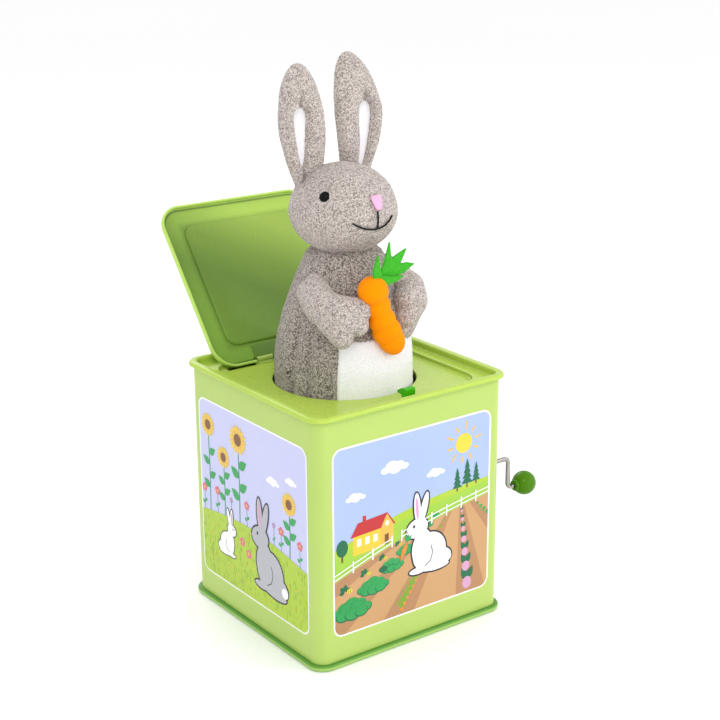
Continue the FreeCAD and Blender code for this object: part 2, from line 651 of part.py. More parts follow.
def puppet_spring():
    low_z = SPRING_BOARD_RANGE[1] + 0.05 + SPRING_WIRE
    high_z = NECK_PLATE_RANGE[0] - 0.05 - SPRING_WIRE
    height = high_z - low_z - SPRING_END_LIFT
    flare = math.atan2(SPRING_BOTTOM_RADIUS - SPRING_TOP_RADIUS, height)
    slant = height / math.cos(flare)
    helix = Part.makeHelix(slant / SPRING_TURNS, slant, SPRING_TOP_RADIUS, math.degrees(flare))
    section = Part.Wire(Part.Circle(Vector(SPRING_TOP_RADIUS, 0, 0), Y_AXIS, SPRING_WIRE).toShape())
    coil = Part.Wire(helix).makePipeShell([section], True, True)
    coil.rotate(Vector(0, 0, 0), X_AXIS, 180)
    coil.translate(Vector(0, 0, high_z))
    bottom_ring = Part.makeTorus(SPRING_BOTTOM_RADIUS, SPRING_WIRE, Vector(0, 0, low_z))
    top_ring = Part.makeTorus(SPRING_TOP_RADIUS, SPRING_WIRE, Vector(0, 0, high_z))
    return coil.multiFuse([bottom_ring, top_ring])


def neck_plate():
    plate = rod_z(0, 0, NECK_PLATE_RANGE, SPRING_TOP_RADIUS + 3)
    boss = rod_z(0, 0, (NECK_PLATE_RANGE[1] - 0.1, HEAD_CENTRE.z - HEAD_HALF[2]), 6.0)
    return plate.fuse(boss)


# ---- the plush rabbit; left and right are as seen from the front ----

def tunic():
    outside = [(TUNIC_RADIUS, TUNIC_BOTTOM)] + list(TUNIC_PROFILE)
    inside = [(radius - TUNIC_SHEET, z) for radius, z in reversed(outside)]
    return revolved(outside + inside)


def belly_patch():
    rows = [(TUNIC_RADIUS, BELLY_BOTTOM)] + list(TUNIC_PROFILE[:3]) + [BELLY_TOP]
    outside = [(radius + BELLY_SHEET, z) for radius, z in rows]
    inside = [(radius + 0.02, z) for radius, z in reversed(rows)]
    return revolved(outside + inside, start_deg=-90.0 - BELLY_HALF_DEG, sweep_deg=2 * BELLY_HALF_DEG)


def head():
    return ellipsoid(HEAD_CENTRE, HEAD_HALF)


def eye(centre):
    return Part.makeSphere(EYE_RADIUS, centre)


def nose():
    foot, top = NOSE_HEIGHT
    outline = [(-NOSE_HALF_TOP, top), (NOSE_HALF_TOP, top), (NOSE_HALF_FOOT, foot), (-NOSE_HALF_FOOT, foot)]
    return prism_y(outline, NOSE_DEPTH)


def mouth_stitch():
    middle = Vector(0.5, -31.6, 247.4)
    smile = Part.Arc(Vector(-11.5, -28.0, 251.5), middle, Vector(13.0, -27.6, 251.0)).toShape()
    start, along = smile.Vertexes[0].Point, smile.tangentAt(smile.FirstParameter)
    section = Part.Wire(Part.Circle(start, along, THREAD_RADIUS).toShape())
    curve = Part.Wire(smile).makePipeShell([section], True, False)
    upper = Vector(0.2, -31.9, 256.6)
    line = Part.makeCylinder(THREAD_RADIUS, (middle - upper).Length, upper, middle - upper)
    return curve.fuse(line)


def ear(side):
    if side < 0:
        return ellipsoid((-21.5, 11.5, 301.0), (15.5, 7.0, 36.0), Y_AXIS, 0.0)
    return ellipsoid((19.0, 13.0, 304.0), (16.0, 7.0, 37.0), Y_AXIS, -3.0)


def ear_lining(side):
    if side < 0:
        return ellipsoid((-20.5, 6.0, 302.0), (5.5, 3.0, 24.0), Y_AXIS, 0.0)
    return ellipsoid((20.5, 7.5, 305.0), (5.5, 3.0, 25.0), Y_AXIS, -3.0)


def arm(side):
    if side < 0:
        points = [Vector(-27, -8, 209), Vector(-31, -24, 199), Vector(-15.5, -37, 195)]
    else:
        points = [Vector(29, -6, 207), Vector(35, -20, 196), Vector(24, -32, 191)]
    return limb(points, ARM_RADII)


def carrot():
    top = Vector(-8.5, -41.0, 211.0)
    tip = Vector(2.8, -43.5, 181.5)
    lobes = [(0.0, 9.2), (0.34, 8.8), (0.68, 8.4), (1.0, 7.6)]
    balls = [Part.makeSphere(radius, top + (tip - top) * share) for share, radius in lobes]
    return balls[0].multiFuse(balls[1:])


def carrot_leaves():
    """A flat felt frond with five pointed fingers."""
    fingers = [(-8.2, 233.8), (1.8, 239.8), (14.1, 232.7), (21.5, 223.9), (10.5, 218.5)]
    notches = [(-3.9, 229.0), (4.0, 230.0), (9.0, 227.0), (9.8, 222.0)]
    outline = [(-8.0, 216.0), (-10.3, 226.5)]
    for number, tip in enumerate(fingers):
        outline.append(tip)
        if number < len(notches):
            outline.append(notches[number])
    outline.append((-2.5, 215.0))
    return prism_y(outline, LEAF_DEPTH)


def nodes():
    """Every sub-part by name."""
    return {
        "base_panel": base_panel(), "box_body": box_body(), "top_panel": top_panel(),
        "deck_hinge_leaf": deck_hinge_leaf(), "hinge_pin": hinge_pin(),
        "lid_panel": lid_panel(), "lid_hinge_leaf": lid_hinge_leaf(),
        "latch_lever": latch_lever(), "latch_bracket": latch_bracket(), "latch_pin": latch_pin(),
        "latch_spring": latch_spring(),
        "crank_wire": crank_wire(), "crank_knob": crank_knob(), "crank_bush": crank_bush(),
        "crank_clip": crank_clip(), "crank_pinion": crank_pinion(),
        "drum_gear": drum_gear(), "pin_drum": pin_drum(), "drum_arbor": drum_arbor(), "trip_cam": trip_cam(),
        "movement_frame": movement_frame(), "movement_screws": movement_screws(),
        "music_comb": music_comb(), "comb_screws": comb_screws(),
        "spring_board": spring_board(), "spring_clips": spring_clips(), "puppet_spring": puppet_spring(),
        "neck_plate": neck_plate(),
        "tunic": tunic(), "belly_patch": belly_patch(), "head": head(),
        "left_eye": eye(LEFT_EYE), "right_eye": eye(RIGHT_EYE),
        "nose": nose(), "mouth_stitch": mouth_stitch(),
        "left_ear": ear(-1), "right_ear": ear(1),
        "left_ear_lining": ear_lining(-1), "right_ear_lining": ear_lining(1),
        "left_arm": arm(-1), "right_arm": arm(1), "carrot": carrot(), "carrot_leaves": carrot_leaves(),
    }


os.makedirs("parts", exist_ok=True)
for name, shape in nodes().items():
    shape.exportStep("parts/" + name + ".step")
    print(name, "valid" if shape.isValid() else "NOT VALID", len(shape.Solids), round(shape.Volume, 1))
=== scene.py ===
import itertools
import json
import math
import random

import bmesh
import bpy
import numpy as np
from mathutils import Matrix, Vector


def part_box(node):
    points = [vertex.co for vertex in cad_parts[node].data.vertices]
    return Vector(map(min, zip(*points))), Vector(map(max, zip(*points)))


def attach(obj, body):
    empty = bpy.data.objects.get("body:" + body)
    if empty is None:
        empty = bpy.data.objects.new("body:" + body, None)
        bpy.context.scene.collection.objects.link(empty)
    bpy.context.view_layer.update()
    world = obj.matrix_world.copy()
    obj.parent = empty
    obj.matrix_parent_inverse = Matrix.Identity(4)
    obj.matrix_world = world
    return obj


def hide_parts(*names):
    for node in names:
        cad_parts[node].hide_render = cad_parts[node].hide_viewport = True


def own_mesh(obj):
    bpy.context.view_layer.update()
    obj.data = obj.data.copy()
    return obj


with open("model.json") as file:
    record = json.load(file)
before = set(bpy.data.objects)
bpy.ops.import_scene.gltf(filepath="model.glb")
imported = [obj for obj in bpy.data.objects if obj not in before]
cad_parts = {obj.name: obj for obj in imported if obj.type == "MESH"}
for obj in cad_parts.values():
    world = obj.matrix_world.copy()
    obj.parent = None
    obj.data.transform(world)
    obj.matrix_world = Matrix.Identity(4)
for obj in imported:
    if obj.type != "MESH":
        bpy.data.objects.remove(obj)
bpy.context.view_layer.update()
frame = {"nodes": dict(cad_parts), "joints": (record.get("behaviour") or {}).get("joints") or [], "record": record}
nodes = frame["nodes"]
MM = 0.001


def mm(*numbers):
    """A point given in millimetres."""
    return Vector(numbers) * MM


def middle(node):
    low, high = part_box(node)
    return (low + high) / 2


def half_size(node):
    low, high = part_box(node)
    return (high - low) / 2


def joint_named(name):
    return next(joint for joint in frame["joints"] if joint["name"] == name)


# ---------------------------------------------------------------- materials

def new_material(name, roughness=0.5, metallic=0.0, base=(0.8, 0.8, 0.8), shine=0.5):
    """A material with its shader and tree, ready for nodes."""
    material = bpy.data.materials.new(name)
    material.use_nodes = True
    tree = material.node_tree
    shader = tree.nodes["Principled BSDF"]
    shader.inputs["Roughness"].default_value = roughness
    shader.inputs["Metallic"].default_value = metallic
    shader.inputs["Base Color"].default_value = (*base, 1)
    shader.inputs["Specular IOR Level"].default_value = shine
    return material, tree, shader


def place(tree):
    """Object coordinates in metres."""
    return tree.nodes.new("ShaderNodeTexCoord").outputs["Object"]


def noise_node(tree, scale, detail=3.0, roughness=0.5, vector=None):
    node = tree.nodes.new("ShaderNodeTexNoise")
    node.inputs["Scale"].default_value = scale
    node.inputs["Detail"].default_value = detail
    node.inputs["Roughness"].default_value = roughness
    tree.links.new(vector or place(tree), node.inputs["Vector"])
    return node.outputs["Fac"]


def ramp(tree, value, stops):
    """A colour ramp of (place, colour) stops."""
    node = tree.nodes.new("ShaderNodeValToRGB")
    elements = node.color_ramp.elements
    elements[0].position, elements[1].position = stops[0][0], stops[-1][0]
    elements[0].color, elements[1].color = (*stops[0][1], 1), (*stops[-1][1], 1)
    for where, colour in stops[1:-1]:
        elements.new(where).color = (*colour, 1)
    tree.links.new(value, node.inputs["Fac"])
    return node.outputs["Color"]


def spread(tree, value, low, high, to_low, to_high):
    """A value mapped from one range to another."""
    node = tree.nodes.new("ShaderNodeMapRange")
    node.inputs["From Min"].default_value = low
    node.inputs["From Max"].default_value = high
    node.inputs["To Min"].default_value = to_low
    node.inputs["To Max"].default_value = to_high
    tree.links.new(value, node.inputs["Value"])
    return node.outputs["Result"]


def bump(tree, shader, height, strength, distance):
    node = tree.nodes.new("ShaderNodeBump")
    node.inputs["Strength"].default_value = strength
    node.inputs["Distance"].default_value = distance
    tree.links.new(height, node.inputs["Height"])
    tree.links.new(node.outputs["Normal"], shader.inputs["Normal"])
    return node


def math_node(tree, operation, first, second=None):
    """The result of a sum on one or two values; each is a socket or a number."""
    node = tree.nodes.new("ShaderNodeMath")
    node.operation = operation
    for value, socket in zip((first, second), node.inputs):
        if isinstance(value, (int, float)):
            socket.default_value = value
        elif value is not None:
            tree.links.new(value, socket)
    return node.outputs[0]


def mix_node(tree, blend, factor, first, second):
    """Two colours mixed; the factor is a socket or a number, and the second colour a socket or a tuple."""
    node = tree.nodes.new("ShaderNodeMix")
    node.data_type = "RGBA"
    node.blend_type = blend
    if isinstance(factor, float):
        node.inputs["Factor"].default_value = factor
    else:
        tree.links.new(factor, node.inputs["Factor"])
    tree.links.new(first, node.inputs["A"])
    if isinstance(second, tuple):
        node.inputs["B"].default_value = (*second, 1)
    else:
        tree.links.new(second, node.inputs["B"])
    return node.outputs["Result"]


def split_place(tree):
    """The object coordinates one by one."""
    parts = tree.nodes.new("ShaderNodeSeparateXYZ")
    tree.links.new(place(tree), parts.inputs[0])
    return parts.outputs


def colour_by(tree, shader, value, deep, pale):
    """The material's colour goes from deep to pale with a value."""
    tree.links.new(ramp(tree, value, [(0.3, deep), (0.7, pale)]), shader.inputs["Base Color"])


def gloss_by(tree, shader, value, low, high, start=0.3):
    """The material's roughness goes from low to high with a value."""
    tree.links.new(spread(tree, value, start, 0.8, low, high), shader.inputs["Roughness"])


def varnish(tree, shader, low, high):
    """The uneven gloss and faint ripple of varnished tin."""
    gloss_by(tree, shader, noise_node(tree, 120.0, 4.0, 0.55), low, high)
    bump(tree, shader, noise_node(tree, 35.0, 1.0), 0.05, 0.0003)


def enamel(name, pale, deep, roughness=0.32):
    """Printed and varnished tinplate."""
    material, tree, shader = new_material(name, roughness, shine=0.35)
    shader.inputs["Coat Weight"].default_value = 0.12
    shader.inputs["Coat Roughness"].default_value = 0.15
    colour_by(tree, shader, noise_node(tree, 18.0, 4.0), deep, pale)
    varnish(tree, shader, roughness - 0.02, roughness + 0.04)
    return material


def plastic(name, pale, deep, roughness, shine=0.5):
    material, tree, shader = new_material(name, roughness, shine=shine)
    colour_by(tree, shader, noise_node(tree, 60.0, 2.0), deep, pale)
    gloss_by(tree, shader, noise_node(tree, 350.0, 6.0, 0.65), roughness, roughness + 0.14, 0.35)
    bump(tree, shader, noise_node(tree, 700.0, 2.0), 0.05, 0.0002)
    return material


def metal(name, pale, deep, roughness):
    material, tree, shader = new_material(name, roughness, 1.0)
    colour_by(tree, shader, noise_node(tree, 90.0, 4.0), deep, pale)
    scratch = noise_node(tree, 600.0, 6.0, 0.7)
    gloss_by(tree, shader, scratch, roughness - 0.05, roughness + 0.15)
    bump(tree, shader, scratch, 0.08, 0.0001)
    return material


def board(name):
    """Pressed wood fibre."""
    material, tree, shader = new_material(name, 0.8)
    fibre = noise_node(tree, 260.0, 8.0, 0.7)
    colour_by(tree, shader, fibre, (0.22, 0.14, 0.07), (0.42, 0.30, 0.18))
    bump(tree, shader, fibre, 0.4, 0.0003)
    return material


def plush(name, dark, pale, speck, pit_shade=(0.62, 0.60, 0.58), nap=0.0007):
    """Looped plush: small curls of yarn in a heather mix, with painted shade in the hollows between the curls, lit
    softly at the edges.
    """
    material, tree, shader = new_material(name, 0.95, shine=0.15)
    shader.inputs["Sheen Weight"].default_value = 0.2
    shader.inputs["Sheen Roughness"].default_value = 0.5
    loops = tree.nodes.new("ShaderNodeTexVoronoi")
    loops.inputs["Scale"].default_value = 1.0 / nap
    tree.links.new(place(tree), loops.inputs["Vector"])
    yarn = tree.nodes.new("ShaderNodeSeparateColor")
    tree.links.new(loops.outputs["Color"], yarn.inputs["Color"])
    mixed = ramp(tree, yarn.outputs["Red"], [(0.0, dark), (0.35, speck), (0.8, pale), (1.0, pale)])
    # painted shade: the colour darkens away from the middle of each curl, in the hollows between the loops
    painted_pit_shade = ramp(tree, loops.outputs["Distance"], [(0.3, (1, 1, 1)), (0.9, pit_shade)])
    tree.links.new(mix_node(tree, "MULTIPLY", 1.0, mixed, painted_pit_shade), shader.inputs["Base Color"])
    fibres = noise_node(tree, 5200.0, 4.0, 0.7)
    gloss_by(tree, shader, fibres, 0.85, 1.0)
    height = math_node(tree, "SUBTRACT", fibres, loops.outputs["Distance"])
    bump(tree, shader, height, 0.7, 0.0006)
    return material


def felt(name, pale, deep):
    """Pressed felt with a fine fuzz."""
    material, tree, shader = new_material(name, 0.9, shine=0.06)
    shader.inputs["Sheen Weight"].default_value = 0.03
    colour_by(tree, shader, noise_node(tree, 700.0, 6.0, 0.75), deep, pale)
    fuzz = noise_node(tree, 3800.0, 5.0, 0.7)
    gloss_by(tree, shader, fuzz, 0.8, 1.0)
    bump(tree, shader, fuzz, 0.5, 0.0005)
    return material


def thread(name, pale, deep, roughness):
    """Spun embroidery thread."""
    material, tree, shader = new_material(name, roughness, shine=0.2)
    shader.inputs["Sheen Weight"].default_value = 0.04
    spin = noise_node(tree, 2600.0, 3.0, 0.6)
    colour_by(tree, shader, spin, deep, pale)
    gloss_by(tree, shader, spin, roughness, roughness + 0.15)
    bump(tree, shader, spin, 0.3, 0.0002)
    return material


INK_DEPTH = 0.80  # how much of its full tone an ink keeps on the tin


def ink(name, colour, other=None, roughness=0.34):
    """Printing ink on the tin, under the same varnish as the enamel."""
    other = other or tuple(value * 0.93 for value in colour)
    pale, deep = (tuple(value * INK_DEPTH for value in tone) for tone in (colour, other))
    return enamel(name, pale, deep, roughness)


DECK_TIN = enamel("tin_green_deck", (0.43, 0.59, 0.075), (0.41, 0.57, 0.07), 0.28)
TIN = enamel("tin_green", (0.435, 0.585, 0.135), (0.415, 0.565, 0.125))
TIN_DARK = enamel("tin_green_dark", (0.16, 0.36, 0.05), (0.13, 0.31, 0.04))
STEEL_BRIGHT = metal("steel_bright", (0.46, 0.44, 0.41), (0.36, 0.34, 0.31), 0.16)
STEEL = metal("steel_plain", (0.55, 0.55, 0.56), (0.42, 0.42, 0.44), 0.35)
BRASS = metal("brass", (0.80, 0.62, 0.30), (0.66, 0.48, 0.2), 0.28)
KNOB = plastic("knob_green", (0.065, 0.20, 0.0), (0.055, 0.18, 0.0), 0.08, 0.16)
LATCH = plastic("latch_green", (0.05, 0.42, 0.004), (0.04, 0.36, 0.003), 0.22, 0.15)
WHITE_PLASTIC = plastic("white_plastic", (0.8, 0.8, 0.78), (0.74, 0.74, 0.72), 0.45)
BLACK = plastic("black_bead", (0.004, 0.004, 0.004), (0.002, 0.002, 0.002), 0.12, 0.1)
BOARD = board("pressed_board")
GREY_PLUSH = plush("grey_plush", (0.30, 0.26, 0.24), (0.76, 0.68, 0.64), (0.54, 0.475, 0.44),
                   (0.50, 0.48, 0.46))
# painted shade: the body's plush is the head's grey made darker and more contrasty, standing in for the shade on
# the body
TUNIC_PLUSH_PAINTED_SHADE = plush("grey_plush_body_painted_shade", (0.15, 0.13, 0.115), (0.62, 0.55, 0.505), (0.36, 0.315, 0.285),
                    (0.36, 0.34, 0.32), 0.00075)
WHITE_PLUSH = plush("white_plush", (0.95, 0.93, 0.98), (1.0, 0.97, 1.0), (0.97, 0.95, 1.0),
                    (0.92, 0.92, 0.94))
CARROT_FELT = felt("carrot_felt", (1.0, 0.30, 0.0), (0.98, 0.26, 0.0))
LEAF_FELT = felt("leaf_felt", (0.075, 0.50, 0.035), (0.03, 0.33, 0.018))
PINK_THREAD = thread("pink_thread", (1.0, 0.52, 0.72), (0.95, 0.36, 0.58), 0.36)
BLACK_THREAD = thread("black_thread", (0.008, 0.007, 0.007), (0.003, 0.003, 0.003), 0.7)
SLOT_MATERIALS = {
    "tin_green": TIN, "tin_green_dark": TIN_DARK, "bright_steel": STEEL_BRIGHT, "plain_steel": STEEL,
    "brass": BRASS, "green_plastic": KNOB, "latch_plastic": LATCH, "fibreboard": BOARD,
    "white_plastic": WHITE_PLASTIC, "black_plastic": BLACK,
}


LID_ROUND = 15.0 * MM


def from_lid_edge(tree):
    """How far out a point lies on the lid's border, in metres: LID_ROUND is the very edge."""
    hinge = joint_named("lid_hinge")
    opened = math.radians(hinge["range_deg"][1])
    along = Vector((0, -math.cos(opened), math.sin(opened)))
    middle_along = middle("lid_panel").dot(along)
    reach = half_size("lid_panel").x - LID_ROUND
    dot = tree.nodes.new("ShaderNodeVectorMath")
    dot.operation = "DOT_PRODUCT"
    dot.inputs[1].default_value = along
    tree.links.new(place(tree), dot.inputs[0])
    squares = []
    for value in (math_node(tree, "SUBTRACT", dot.outputs["Value"], middle_along), split_place(tree)["X"]):
        away = math_node(tree, "ABSOLUTE", value)
        over = math_node(tree, "MAXIMUM", math_node(tree, "SUBTRACT", away, reach), 0.0)
        squares.append(math_node(tree, "MULTIPLY", over, over))
    return math_node(tree, "SQRT", math_node(tree, "ADD", *squares))


def lid_tin_painted_light():
    """The lid's enamel with painted light: a painted highlight on the rolled bead, a painted shadow line inside
    it, and a field graded with painted shade and light.
    """
    material, tree, shader = new_material("tin_green_lid_painted_light", 0.3, shine=0.2)
    shader.inputs["Coat Weight"].default_value = 0.08
    shader.inputs["Coat Roughness"].default_value = 0.2
    low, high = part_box("lid_panel")
    at = split_place(tree)
    rise = spread(tree, at["Z"], low.z, high.z, 0.0, 0.75)
    across = spread(tree, at["X"], low.x, high.x, 0.0, 0.45)
    # painted shade and light: the field is darkest through the middle and lightest towards the top and the +X side
    field = ramp(tree, math_node(tree, "ADD", rise, across),
                 [(0.2, (0.21, 0.38, 0.052)), (0.53, (0.15, 0.27, 0.038)), (0.7, (0.22, 0.36, 0.054)),
                  (0.91, (0.39, 0.57, 0.097))])
    edge = spread(tree, from_lid_edge(tree), 0.0, LID_ROUND, 0.0, 1.0)
    # painted shade on the inner panel, lighter towards the border, and a painted shadow line just inside the bead
    line = ramp(tree, edge, [(0.02, (0.78, 0.78, 0.78)), (0.3, (1, 1, 1)), (0.76, (0.95, 0.95, 0.95)),
                             (0.81, (0.36, 0.42, 0.33)), (0.85, (0.36, 0.42, 0.33)), (0.88, (1, 1, 1))])
    # painted highlight: the rolled bead at the very edge is a lighter green
    painted_bead_highlight = ramp(tree, edge, [(0.85, (0, 0, 0)), (0.89, (1, 1, 1))])
    painted_shade_and_shadow_line = mix_node(tree, "MULTIPLY", 1.0, field, line)
    tree.links.new(mix_node(tree, "MIX", painted_bead_highlight, painted_shade_and_shadow_line, (0.46, 0.67, 0.13)), shader.inputs["Base Color"])
    varnish(tree, shader, 0.26, 0.34)
    return material


# painted shade: the hinge leaf is a deeper green than the deck, standing in for the shade in the notch by the lid
HINGE_TIN_PAINTED_SHADE = enamel("tin_green_hinge_painted_shade", (0.13, 0.24, 0.035), (0.11, 0.21, 0.03))


def foot_tin_painted_light():
    """The rolled foot's enamel with painted light: painted shade where it meets the wall and a painted lit band
    along its outer edge.
    """
    material, tree, shader = new_material("tin_green_foot_painted_light", 0.32, shine=0.3)
    low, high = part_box("base_panel")
    rise = spread(tree, split_place(tree)["Z"], low.z, high.z, 0.0, 1.0)
    # painted light and shade: lighter over the lower part, dark towards the top where the foot meets the wall
    tree.links.new(ramp(tree, rise, [(0.0, (0.30, 0.50, 0.12)), (0.55, (0.33, 0.53, 0.12)),
                                     (0.8, (0.12, 0.31, 0.04)), (1.0, (0.08, 0.25, 0.03))]),
                   shader.inputs["Base Color"])
    varnish(tree, shader, 0.28, 0.36)
    return material


# the lid, hinge leaf and foot get materials with painted light and shade in their colours
NODE_MATERIALS = {"lid_panel": lid_tin_painted_light(), "top_panel": DECK_TIN, "lid_hinge_leaf": HINGE_TIN_PAINTED_SHADE,
                  "base_panel": foot_tin_painted_light()}


def dress_cad_nodes():
    """Every CAD node that stays in view gets the material of its slot."""
    for row in frame["record"]["subparts"]:
        material = NODE_MATERIALS.get(row["node"]) or SLOT_MATERIALS.get(row["material_slot"])
        if material is None:
            continue
        data = nodes[row["node"]].data
        data.materials.clear()
        data.materials.append(material)


dress_cad_nodes()


# ---------------------------------------------------------------- making meshes

def add_object(name, mesh, materials):
    obj = bpy.data.objects.new(name, mesh)
    bpy.context.scene.collection.objects.link(obj)
    for material in materials:
        mesh.materials.append(material)
    return obj


def mesh_of(name, points, faces):
    mesh = bpy.data.meshes.new(name)
    mesh.from_pydata([tuple(point) for point in points], [], faces)
    mesh.shade_smooth()
    return mesh


def mesh_from(name, bm, smooth=True):
    """A mesh from a bmesh, which is freed."""
    mesh = bpy.data.meshes.new(name)
    bm.to_mesh(mesh)
    bm.free()
    if smooth:
        mesh.shade_smooth()
    return mesh


def shaped_ball(name, fineness, moved):
    """A ball of radius one whose points go through a function."""
    bm = bmesh.new()
    bmesh.ops.create_icosphere(bm, subdivisions=fineness, radius=1.0)
    for vertex in bm.verts:
        vertex.co = moved(vertex.co)
    return mesh_from(name, bm)


def ring_faces(rings, count, closed=True):
    """The quads between rings of count points each."""
    faces = []
    across = count if closed else count - 1
    for row in range(rings - 1):
        for step in range(across):
            after = (step + 1) % count
            low, high = row * count, (row + 1) * count
            faces.append((low + step, low + after, high + after, high + step))
    return faces


def skin(name, rings, closed=True, capped=False):
    """A mesh through rings of points; every ring has the same number."""
    rings = np.asarray(rings, float)
    count = rings.shape[1]
    points = rings.reshape(-1, 3)
    faces = ring_faces(len(rings), count, closed)
    if capped:
        points = np.vstack([points, rings[0].mean(0), rings[-1].mean(0)])
        first, last = len(points) - 2, len(points) - 1
        top = (len(rings) - 1) * count
        for step in range(count):
            after = (step + 1) % count
            faces.append((first, after, step))
            faces.append((last, top + step, top + after))
    return mesh_of(name, points, faces)


def tube(path, radius, sides=10, twist=0.0, strands=0, groove=0.0):
    """Rings along a path; with strands, the section is a rope of that many plies."""
    path = [Vector(point) for point in path]
    rings = []
    side = None
    for index, point in enumerate(path):
        before, after = path[max(index - 1, 0)], path[min(index + 1, len(path) - 1)]
        forward = (after - before).normalized()
        if side is None:
            side = forward.orthogonal().normalized()
        side = (side - forward * side.dot(forward)).normalized()
        up = forward.cross(side)
        ring = []
        for step in range(sides):
            angle = math.tau * step / sides
            wave = 1.0
            if strands:
                wave -= groove * abs(math.sin((angle + twist * index) * strands / 2))
            ring.append(point + (side * math.cos(angle) + up * math.sin(angle)) * radius * wave)
        rings.append(ring)
    return rings


def smooth_path(points, steps):
    """Points along a rounded path through the given ones."""
    points = [Vector(point) for point in points]
    padded = [2 * points[0] - points[1]] + points + [2 * points[-1] - points[-2]]
    path = []
    for index in range(len(points) - 1):
        a, b, c, d = padded[index:index + 4]
        for step in range(steps):
            t = step / steps
            path.append(0.5 * (2 * b + (c - a) * t + (2 * a - 5 * b + 4 * c - d) * t * t
                               + (3 * b - a - 3 * c + d) * t ** 3))
    path.append(points[-1])
    return path


# ---------------------------------------------------------------- the pile of the plush

def scatter(cells, salt):
    """Repeatable numbers from 0 to 1, one for each whole-number cell."""
    mixed = np.sin(cells @ np.array([12.9898, 78.233, 37.719]) + salt) * 43758.5453
    return mixed - np.floor(mixed)


def curls(points, size):
    """Height from 0 to 1 of the little loops of yarn at each point."""
    scaled = points / size
    cells = np.floor(scaled)
    nearest = np.full(len(points), 4.0)
    for offset in itertools.product((-1, 0, 1), repeat=3):
        near = cells + np.array(offset)
        loop = near + np.stack([scatter(near, salt) for salt in (0.0, 19.2, 47.7)], 1)
        nearest = np.minimum(nearest, ((scaled - loop) ** 2).sum(1))
    return 1.0 - np.minimum(nearest, 1.0)


def drift(points, size):
    """Slow unevenness from -1 to 1."""
    scaled = points / size
    cells = np.floor(scaled)
    part = scaled - cells
    part = part * part * (3 - 2 * part)
    total = np.zeros(len(points))
    for corner in itertools.product((0, 1), repeat=3):
        weight = np.prod(np.where(np.array(corner) == 1, part, 1 - part), axis=1)
        total += weight * scatter(cells + np.array(corner), 5.3)
    return total * 2 - 1


def add_pile(obj, height=0.45, size=1.45, soft=0.35):
    """Raises the loops of the pile on a finished mesh; sizes in millimetres."""
    mesh = obj.data
    count = len(mesh.vertices)
    points = np.empty(count * 3)
    mesh.vertices.foreach_get("co", points)
    points = points.reshape(-1, 3)
    normals = np.empty(count * 3)
    mesh.vertex_normals.foreach_get("vector", normals)
    normals = normals.reshape(-1, 3)
    lift = height * (curls(points, size * MM) - 0.55) + soft * drift(points, 9 * MM)
    points += normals * lift[:, None] * MM
    mesh.vertices.foreach_set("co", points.ravel())
    mesh.update()
    return obj


def blob(name, bones, voxel, softness, materials):
    """A stuffed form round bones; each bone is two points with a radius at each end."""
    bm = bmesh.new()
    for start, start_radius, end, end_radius in bones:
        steps = max(2, int((end - start).length / (2.0 * MM)) + 1)
        for share in np.linspace(0, 1, steps):
            where = Matrix.Translation(start.lerp(end, share))
            radius = start_radius + (end_radius - start_radius) * share
            bmesh.ops.create_icosphere(bm, subdivisions=4, radius=radius * MM, matrix=where)
    obj = add_object(name, mesh_from(name, bm, False), [])
    remesh = obj.modifiers.new("remesh", "REMESH")
    remesh.mode = "VOXEL"
    remesh.voxel_size = voxel * MM
    smooth = obj.modifiers.new("smooth", "SMOOTH")
    smooth.factor = 0.5
    smooth.iterations = softness
    bpy.context.view_layer.update()
    evaluated = obj.evaluated_get(bpy.context.evaluated_depsgraph_get())
    final = bpy.data.meshes.new_from_object(evaluated)
    obj.modifiers.clear()
    obj.data = final
    final.name = name
    final.shade_smooth()
    for material in materials:
        final.materials.append(material)
    return obj


def finish_soft(obj, node, body="puppet"):
    """The piece stands for its CAD node."""
    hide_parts(node)
    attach(obj, body)


# ---------------------------------------------------------------- the rabbit

HEAD_PLACE = middle("head")
HEAD_HALF = half_size("head")


def head_surface(direction, lift=0.0):
    """The point of the stuffed head in a direction from its middle."""
    d = Vector(direction).normalized()
    muzzle = math.exp(-((d.x / 0.45) ** 2 + ((d.z + 0.12) / 0.42) ** 2)) if d.y < 0 else 0.0
    cheeks = math.exp(-(((abs(d.x) - 0.72) / 0.4) ** 2 + ((d.z + 0.3) / 0.35) ** 2))
    grow = 1.0 + 0.035 * muzzle + 0.02 * cheeks
    point = Vector((d.x * HEAD_HALF.x, d.y * HEAD_HALF.y, d.z * HEAD_HALF.z)) * grow
    return HEAD_PLACE + point + d * lift * MM


def add_head():
    head = add_object("rabbit_head", shaped_ball("rabbit_head", 7, head_surface), [GREY_PLUSH])
    add_pile(head)
    finish_soft(head, "head")


def add_eye(name, node):
    """A glossy bead set into the plush."""
    centre = middle(node)
    outward = (centre - HEAD_PLACE).normalized()
    radius = half_size(node).x * 1.16
    turn = outward.to_track_quat("Z", "Y").to_matrix()
    seat = centre - outward * radius * 0.30
    mesh = shaped_ball(name, 5, lambda co: seat + turn @ Vector((co.x, co.y, co.z * 0.8)) * radius)
    eye = add_object(name, mesh, [BLACK])
    finish_soft(eye, node)


def on_face(x, z, lift):
    """The point of the face at a sideways place and height in metres, lifted in millimetres."""
    up = (z - HEAD_PLACE.z) / HEAD_HALF.z
    side = x / HEAD_HALF.x
    front = -math.sqrt(max(0.02, 1 - up * up - side * side))
    return head_surface((side, front, up), lift)


def add_stitches(name, node, material, slot, paths, radius, sides, *ply):
    """Threads along paths on the face; ply is the twist, the strands and the groove of a tube."""
    points, faces = [], []
    for path in paths:
        rings = np.array([[list(point) for point in ring] for ring in tube(path, radius, sides, *ply)])
        base = len(points)
        points.extend(rings.reshape(-1, 3))
        faces.extend([tuple(base + index for index in face) for face in ring_faces(len(rings), sides)])
    finish_soft(add_object(name, mesh_of(name, points, faces), [material]), node)


